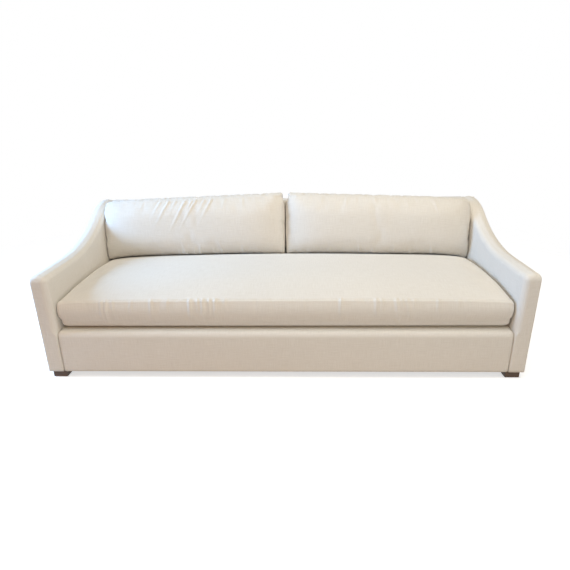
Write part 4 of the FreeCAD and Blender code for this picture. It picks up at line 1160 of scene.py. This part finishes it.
FOOT_PUCKERS = {
    "left": [
        (-0.720, 0.20, 0.011, 0.05, 0.0030), (-0.695, -0.15, 0.010, 0.06, 0.0040), (-0.640, 0.10, 0.011, 0.05, 0.0024),
        (-0.601, 0.15, 0.010, 0.06, 0.0030), (-0.500, 0.10, 0.011, 0.05, 0.0018), (-0.436, -0.20, 0.010, 0.06, 0.0028),
        (-0.300, 0.10, 0.012, 0.05, 0.0014)],
    "right": [
        (0.300, 0.10, 0.012, 0.05, 0.0014), (0.520, -0.20, 0.011, 0.06, 0.0020), (0.600, 0.20, 0.011, 0.05, 0.0018),
        (0.760, -0.25, 0.011, 0.06, 0.0020), (0.860, 0.15, 0.011, 0.05, 0.0020), (1.020, -0.30, 0.011, 0.07, 0.0024)]}


def fill_back_cushion(sizes, piece, side):
    """Blows up a back cushion, and adds the creases at its seams."""
    lean = sizes.back_lean
    points = coords(piece.data)
    depth = (INSIDE_BACK - points[:, 1]) * math.cos(lean) + (points[:, 2] - DECK) * math.sin(lean)
    height = points[:, 2] - DECK - sizes.seat_band
    seam = seam_distance(piece.data)
    held = (depth < 0.004) | ((depth < 0.10) & (height < 0.075)) | ((seam < 0.001) & (height > 0.3))
    settle(piece, held, slack=0.025, cap=0.014)
    soften(piece, (normals(piece.data)[:, 1] < -0.4) & (seam > 0.03), rounds=10)
    subdivide(piece)
    mesh = piece.data
    points = coords(mesh)
    front = np.clip((-normals(mesh)[:, 1] - 0.15) / 0.4, 0, 1)
    top = cushion_top(sizes, (np.abs(points[:, 0]) - CUSHION_LOW.x) / (2 * CUSHION_HALF)) - TOP_ROLL
    foot = seat_top(sizes, points[:, 0], 0.25) + SEAT_ROOM
    creases = pleats(points[:, 0], np.clip(top - points[:, 2], 0, None), TOP_PUCKERS[side], strength=1.6)
    creases += pleats(points[:, 0], np.clip(points[:, 2] - foot, 0, None), FOOT_PUCKERS[side])
    creases += ripple(points, 40 + SIDES[side], wave=0.22) * 0.0016
    push_out(mesh, creases * front)
    draw_seams(mesh, sizes.seam_depth)
    points = coords(mesh)
    points[:, 0] = np.clip(np.abs(points[:, 0]), 0.003, ARM_INNER - 0.0008) * SIDES[side]
    set_coords(mesh, points)


class SOFA_OT_back_cushions(bpy.types.Operator):
    """Makes the two back cushions, filled out and drawn in at their seams"""

    bl_idname = "sofa.back_cushions"
    bl_label = "Back cushions"

    def execute(self, context):
        sizes = context.scene.sofa_sizes
        for side in SIDES:
            piece = back_cushion(sizes, side)
            fill_back_cushion(sizes, piece, side)
            hand_over(
                piece, "back_cushion_" + side, "oatmeal_linen",
                ["back_cushion_cover_" + side, "back_cushion_core_" + side])
        return {"FINISHED"}


# Rows of one shape

def row_group():
    """Geometry nodes that set copies of a piece in a row, every second one shifted aside."""
    tree = bpy.data.node_groups.new("row_of_copies", "GeometryNodeTree")
    for name, kind in (
            ("Geometry", "Geometry"), ("Count", "Int"), ("Start", "Vector"), ("Step", "Vector"), ("Aside", "Vector"),
            ("Material", "Material")):
        tree.interface.new_socket(name, in_out="INPUT", socket_type="NodeSocket" + kind)
    tree.interface.new_socket("Geometry", in_out="OUTPUT", socket_type="NodeSocketGeometry")
    given = add_node(tree, "NodeGroupInput")
    row = add_node(tree, "GeometryNodeMeshLine", {
        "Count": given["Count"], "Start Location": given["Start"], "Offset": given["Step"]}, mode="OFFSET")
    index = add_node(tree, "GeometryNodeInputIndex")[0]
    odd = add_node(tree, "ShaderNodeMath", {0: index, 1: 2.0}, operation="MODULO")[0]
    way = add_node(tree, "ShaderNodeMath", {0: odd, 1: 2.0, 2: -1.0}, operation="MULTIPLY_ADD")[0]
    aside = add_node(tree, "ShaderNodeVectorMath", {0: given["Aside"], "Scale": way}, operation="SCALE")[0]
    placed = add_node(tree, "GeometryNodeSetPosition", {"Geometry": row[0], "Offset": aside})
    copies = add_node(tree, "GeometryNodeInstanceOnPoints", {"Points": placed[0], "Instance": given["Geometry"]})
    real = add_node(tree, "GeometryNodeRealizeInstances", {"Geometry": copies[0]})
    dressed = add_node(tree, "GeometryNodeSetMaterial", {"Geometry": real[0], "Material": given["Material"]})
    add_node(tree, "NodeGroupOutput", {"Geometry": dressed[0]})
    return tree


def in_a_row(piece, count, start, step, aside, material):
    """Turns a piece into a row of copies of itself, as plain mesh."""
    tree = bpy.data.node_groups.get("row_of_copies") or row_group()
    values = {"Count": count, "Start": start, "Step": step, "Aside": aside, "Material": material}
    modifier = piece.modifiers.new("Row", "NODES")
    modifier.node_group = tree
    for item in tree.interface.items_tree:
        if item.in_out == "INPUT" and item.name in values:
            modifier[item.identifier] = values[item.name]
    piece.update_tag()
    make_plain(piece)
    return piece


def zip_axes(node):
    """Middle of a zipper's inner face and its directions: along the chain, across the tapes and outwards."""
    points = coords(frame["nodes"][node].data)
    middle = (points.min(axis=0) + points.max(axis=0)) / 2
    axes = np.linalg.svd(points - points.mean(axis=0), full_matrices=False)[2]
    along = axes[0] * np.sign(axes[0][0])
    out = axes[2] * np.sign(axes[2] @ np.array([0.0, 1.0, -0.5]))
    across = np.cross(out, along)
    places = (points - middle) @ np.stack([along, across, out], axis=1)
    low = places.min(axis=0)
    high = places.max(axis=0)
    centre = middle + along * (low[0] + high[0]) / 2 + across * (low[1] + high[1]) / 2 + out * low[2]
    return centre, along, across, out, (high - low) / 2


# Half sizes of a zipper's tooth along the chain, across it and outwards, its height over the tape's inner face, its
# shift to one side, and the thickness of the tape
TOOTH = (0.0013, 0.0018, 0.0010)
TOOTH_RISE = 0.0019
TOOTH_ASIDE = 0.0008
TAPE = 0.0008


def zip_teeth(name, sizes, centre, along, across, out, reach):
    """The chain of a zipper: rounded teeth that stand off both tapes in turn."""
    work = bmesh.new()
    bmesh.ops.create_uvsphere(work, u_segments=8, v_segments=5, radius=1.0)
    axes = [way * half for way, half in zip((along, across, out), TOOTH)]
    bmesh.ops.transform(work, matrix=Matrix(np.stack(axes, axis=1).tolist()).to_4x4(), verts=work.verts)
    mesh = bpy.data.meshes.new(name)
    work.to_mesh(mesh)
    work.free()
    mesh.shade_smooth()
    piece = bpy.data.objects.new(name, mesh)
    bpy.context.scene.collection.objects.link(piece)
    step = sizes.zip_pitch / 2
    count = int(2 * reach / step) - 2
    start = centre - along * (count - 1) * step / 2 + out * TOOTH_RISE
    return in_a_row(
        piece, count, tuple(start), tuple(along * step), tuple(across * TOOTH_ASIDE), finish("zip_nylon"))


class SOFA_OT_zippers(bpy.types.Operator):
    """Makes the zippers of the three cushions: tapes and teeth"""

    bl_idname = "sofa.zippers"
    bl_label = "Zippers"

    def execute(self, context):
        sizes = context.scene.sofa_sizes
        for node, body in (
                ("seat_zipper", "seat_cushion"), ("back_zipper_left", "back_cushion_left"),
                ("back_zipper_right", "back_cushion_right")):
            centre, along, across, out, half = zip_axes(node)
            u = np.linspace(-1, 1, 60)[:, None, None] * half[0]
            w = np.linspace(-1, 1, 9)[None, :, None] * half[1]
            tape = lens(node + "_tape", centre + along * u + across * w + out * TAPE, out, TAPE, roll=0.001)
            hand_over(tape, body, "zip_nylon", [node], "zip_tape")
            teeth = zip_teeth(node + "_teeth", sizes, centre, along, across, out, half[0])
            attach(teeth, body)
        return {"FINISHED"}


# Springs and the pieces inside

# Radius of the spring wire, width of a spring, and the usual distances between its bends and between springs
WIRE = 0.0019
SPRING_WIDTH = 0.046
BEND_SPACING = 0.027
SPRING_SPACING = 0.150


def spring_wire(low, high):
    """One sinuous spring along Y, from y = low.y to high.y about x = 0."""
    count = int(round((high.y - low.y - 2 * WIRE) / BEND_SPACING)) + 1
    pitch = (high.y - low.y - 2 * WIRE) / (count - 1)
    reach = SPRING_WIDTH / 2 - WIRE - pitch / 2
    way = 1
    path = []
    for i in range(count):
        y = low.y + WIRE + i * pitch
        path += [(-way * reach, y), (way * reach, y)]
        if i < count - 1:
            for turn in np.linspace(-math.pi / 2, math.pi / 2, 6)[1:-1]:
                path.append((way * (reach + pitch / 2 * math.cos(turn)), y + pitch / 2 + pitch / 2 * math.sin(turn)))
        way = -way
    centre = np.array([(x, y, (low.z + high.z) / 2) for x, y in path])
    heading = np.gradient(centre, axis=0)
    heading /= np.linalg.norm(heading, axis=1)[:, None]
    aside = np.cross(heading, (0, 0, 1))
    turns = np.linspace(0, 2 * math.pi, 7)
    rings = centre[:, None] + WIRE * (
        np.cos(turns)[None, :, None] * aside[:, None] + np.sin(turns)[None, :, None] * np.array([0, 0, 1.0]))
    return sewn_mesh("seat_spring_wires", [patch(rings)])


class SOFA_OT_inside(bpy.types.Operator):
    """Makes the springs lighter and gives every other piece of the frame its material"""

    bl_idname = "sofa.inside"
    bl_label = "Springs and frame"

    def execute(self, context):
        low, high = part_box("seat_springs")
        spring = spring_wire(low, high)
        span = high.x - low.x - SPRING_WIDTH
        count = int(round(span / SPRING_SPACING)) + 1
        in_a_row(
            spring, count, (low.x + SPRING_WIDTH / 2, 0, 0), (span / (count - 1), 0, 0), (0, 0, 0),
            finish("spring_steel"))
        hand_over(spring, "frame", "spring_steel", ["seat_springs"])
        for part in frame["record"]["subparts"]:
            node = frame["nodes"][part["node"]]
            node.data.materials.clear()
            node.data.materials.append(finish(part["material_slot"]))
        return {"FINISHED"}


# Stage

# Soft lights: name, place, aim, size in metres, the setting that holds the power, and colour
LIGHTS = (
    ("Top", (0.6, -0.9, 3.4), (0.2, 0.1, 0.4), (4.5, 2.4), "top_light", "#FFF6E4"),
    ("Window", (-3.6, -0.30, 1.55), (0.8, 0.1, 0.5), (1.2, 1.4), "window_light", "#A2CFFF"),
    ("Lamp", (-2.3, -2.7, 0.5), (-1.1, -0.5, 0.3), (0.8, 0.6), "lamp_light", "#FF9A45"),
    ("Front", (1.5, -4.0, 0.8), (0.4, -0.2, 0.25), (2.2, 1.2), "front_light", "#FCFAF8"),
    ("Rear", (0.4, 4.2, 1.2), (0.0, 0.5, 0.35), (3.0, 1.4), "rear_light", "#FFFAF2"),
)
# Tan screen beside the left arm, out of the camera's sight: keeps the even light off it and warms its front
SCREEN = [(-2.9, -3.6, 0), (-2.1, -1.4, 0), (-2.1, -1.4, 1.7), (-2.9, -3.6, 1.7)]
FLOOR_REACH = 5.0
FLOOR = [(x * FLOOR_REACH, y * FLOOR_REACH, 0) for x, y in ((-1, -1), (1, -1), (1, 1), (-1, 1))]


def backdrop_share(tree):
    """1 for the rays that see the pale backdrop, from the camera, a reflection or glass, and 0 for the rest."""
    rays = add_node(tree, "ShaderNodeLightPath")
    shown = rays["Is Camera Ray"]
    for ray in ("Is Glossy Ray", "Is Transmission Ray"):
        shown = add_node(tree, "ShaderNodeMath", {0: shown, 1: rays[ray]}, operation="MAXIMUM")[0]
    return shown


def place_camera(scene, stage):
    """The camera, turned by its yaw, pitch and roll."""
    ahead = Vector((
        math.sin(stage.yaw) * math.cos(stage.pitch), math.cos(stage.yaw) * math.cos(stage.pitch),
        -math.sin(stage.pitch)))
    right = Vector((math.cos(stage.yaw), -math.sin(stage.yaw), 0))
    down = ahead.cross(right)
    aside = right * math.cos(stage.roll) + down * math.sin(stage.roll)
    below = down * math.cos(stage.roll) - right * math.sin(stage.roll)
    camera = bpy.data.objects.new("Camera", bpy.data.cameras.new("Camera"))
    camera.data.sensor_width = 36
    camera.data.lens = stage.lens
    camera.data.clip_end = 200
    pose = Matrix((aside, -below, -ahead)).transposed().to_4x4()
    pose.translation = stage.eye
    camera.matrix_world = pose
    scene.collection.objects.link(camera)
    scene.camera = camera
    return camera


def soft_light(scene, name, place, aim, size, watts, code):
    """A rectangular light that the camera doesn't see."""
    data = bpy.data.lights.new(name, "AREA")
    data.shape = "RECTANGLE"
    data.size, data.size_y = size
    data.energy = watts
    data.color = linear(code)[:3]
    light = bpy.data.objects.new(name, data)
    light.location = place
    light.rotation_euler = (Vector(aim) - Vector(place)).to_track_quat("-Z", "Y").to_euler()
    light.visible_camera = False
    scene.collection.objects.link(light)


def board(scene, name, corners, material):
    """A flat board with four corners."""
    mesh = bpy.data.meshes.new(name)
    mesh.from_pydata(corners, [], [(0, 1, 2, 3)])
    mesh.materials.append(material)
    piece = bpy.data.objects.new(name, mesh)
    scene.collection.objects.link(piece)
    return piece


def studio_floor(stage):
    # Studio floor: white to the camera apart from the shadow, and warm as boards where it lights the sofa from below
    material, tree, shader = new_material(
        "studio_floor", Roughness=0.9, Emission_Color=(1, 1, 1, 1), Specular_IOR_Level=0.1)
    seen = backdrop_share(tree)
    tint = add_node(
        tree, "ShaderNodeMix", {0: seen, 6: linear("#CDBEAC"), 7: linear("#DADADA")}, data_type="RGBA")[2]
    glow = add_node(tree, "ShaderNodeMath", {0: seen, 1: stage.floor_glow}, operation="MULTIPLY")[0]
    place = add_node(tree, "ShaderNodeTexCoord")["Object"]
    apart = add_node(tree, "ShaderNodeVectorMath", {0: place}, operation="LENGTH")["Value"]
    fade = add_node(
        tree, "ShaderNodeMapRange", {0: apart, 1: 1.9, 2: 4.2, 3: 1.0, 4: 0.0}, interpolation_type="SMOOTHSTEP")[0]
    fill_in(tree, shader, {"Base Color": tint, "Emission Strength": glow, "Alpha": fade})
    return material


def studio_world(scene, stage):
    """White to the camera, and an even light of its own strength on the sofa."""
    world = bpy.data.worlds.new("Studio")
    world.use_nodes = True
    scene.world = world
    tree = world.node_tree
    even = add_node(tree, "ShaderNodeMix", {0: backdrop_share(tree), 2: stage.ambient, 3: 1.0})[0]
    fill_in(tree, tree.nodes["Background"], {"Color": (1, 1, 1, 1), "Strength": even})


class SOFA_OT_stage(bpy.types.Operator):
    """Sets the camera, the lights and the pale floor"""

    bl_idname = "sofa.stage"
    bl_label = "Camera and light"

    def execute(self, context):
        scene = context.scene
        stage = scene.sofa_stage
        camera = place_camera(scene, stage)
        for name, place, aim, size, setting, code in LIGHTS:
            soft_light(scene, name, place, aim, size, getattr(stage, setting), code)
        tan = new_material("tan_screen", Base_Color=linear("#8C6A40"), Roughness=0.9)[0]
        screen = board(scene, "Screen", SCREEN, tan)
        screen.visible_camera = False
        floor = board(scene, "Floor", FLOOR, studio_floor(stage))
        studio_world(scene, stage)
        scene.view_settings.view_transform = "Standard"
        return {"FINISHED"}


OPERATORS = (
    SOFA_OT_arms, SOFA_OT_panels, SOFA_OT_frame_pads, SOFA_OT_seat_cushion, SOFA_OT_back_cushions, SOFA_OT_zippers,
    SOFA_OT_inside, SOFA_OT_stage)
GROUPS = {"sofa_sizes": SofaSizes, "sofa_cloth": SofaCloth, "sofa_stage": SofaStage}


class SOFA_PT_panel(bpy.types.Panel):
    """Lists the sofa's pieces, its sizes, its colours and its stage"""

    bl_idname = "SOFA_PT_panel"
    bl_label = "Slope arm sofa"
    bl_space_type = "VIEW_3D"
    bl_region_type = "UI"
    bl_category = "Sofa"

    def draw(self, context):
        for operator in OPERATORS:
            self.layout.operator(operator.bl_idname)
        for name, group in GROUPS.items():
            box = self.layout.box()
            for setting in group.__annotations__:
                box.prop(getattr(context.scene, name), setting)


def register():
    for kind in (*GROUPS.values(), *OPERATORS, SOFA_PT_panel):
        bpy.utils.register_class(kind)
    for name, group in GROUPS.items():
        setattr(bpy.types.Scene, name, PointerProperty(type=group))


def unregister():
    for name in GROUPS:
        delattr(bpy.types.Scene, name)
    for kind in (SOFA_PT_panel, *reversed(OPERATORS), *reversed(GROUPS.values())):
        bpy.utils.unregister_class(kind)


def main():
    register()
    bpy.ops.sofa.arms()
    bpy.ops.sofa.panels()
    bpy.ops.sofa.frame_pads()
    bpy.ops.sofa.seat_cushion()
    bpy.ops.sofa.back_cushions()
    bpy.ops.sofa.zippers()
    bpy.ops.sofa.inside()
    bpy.ops.sofa.stage()


if __name__ == "__main__":
    main()
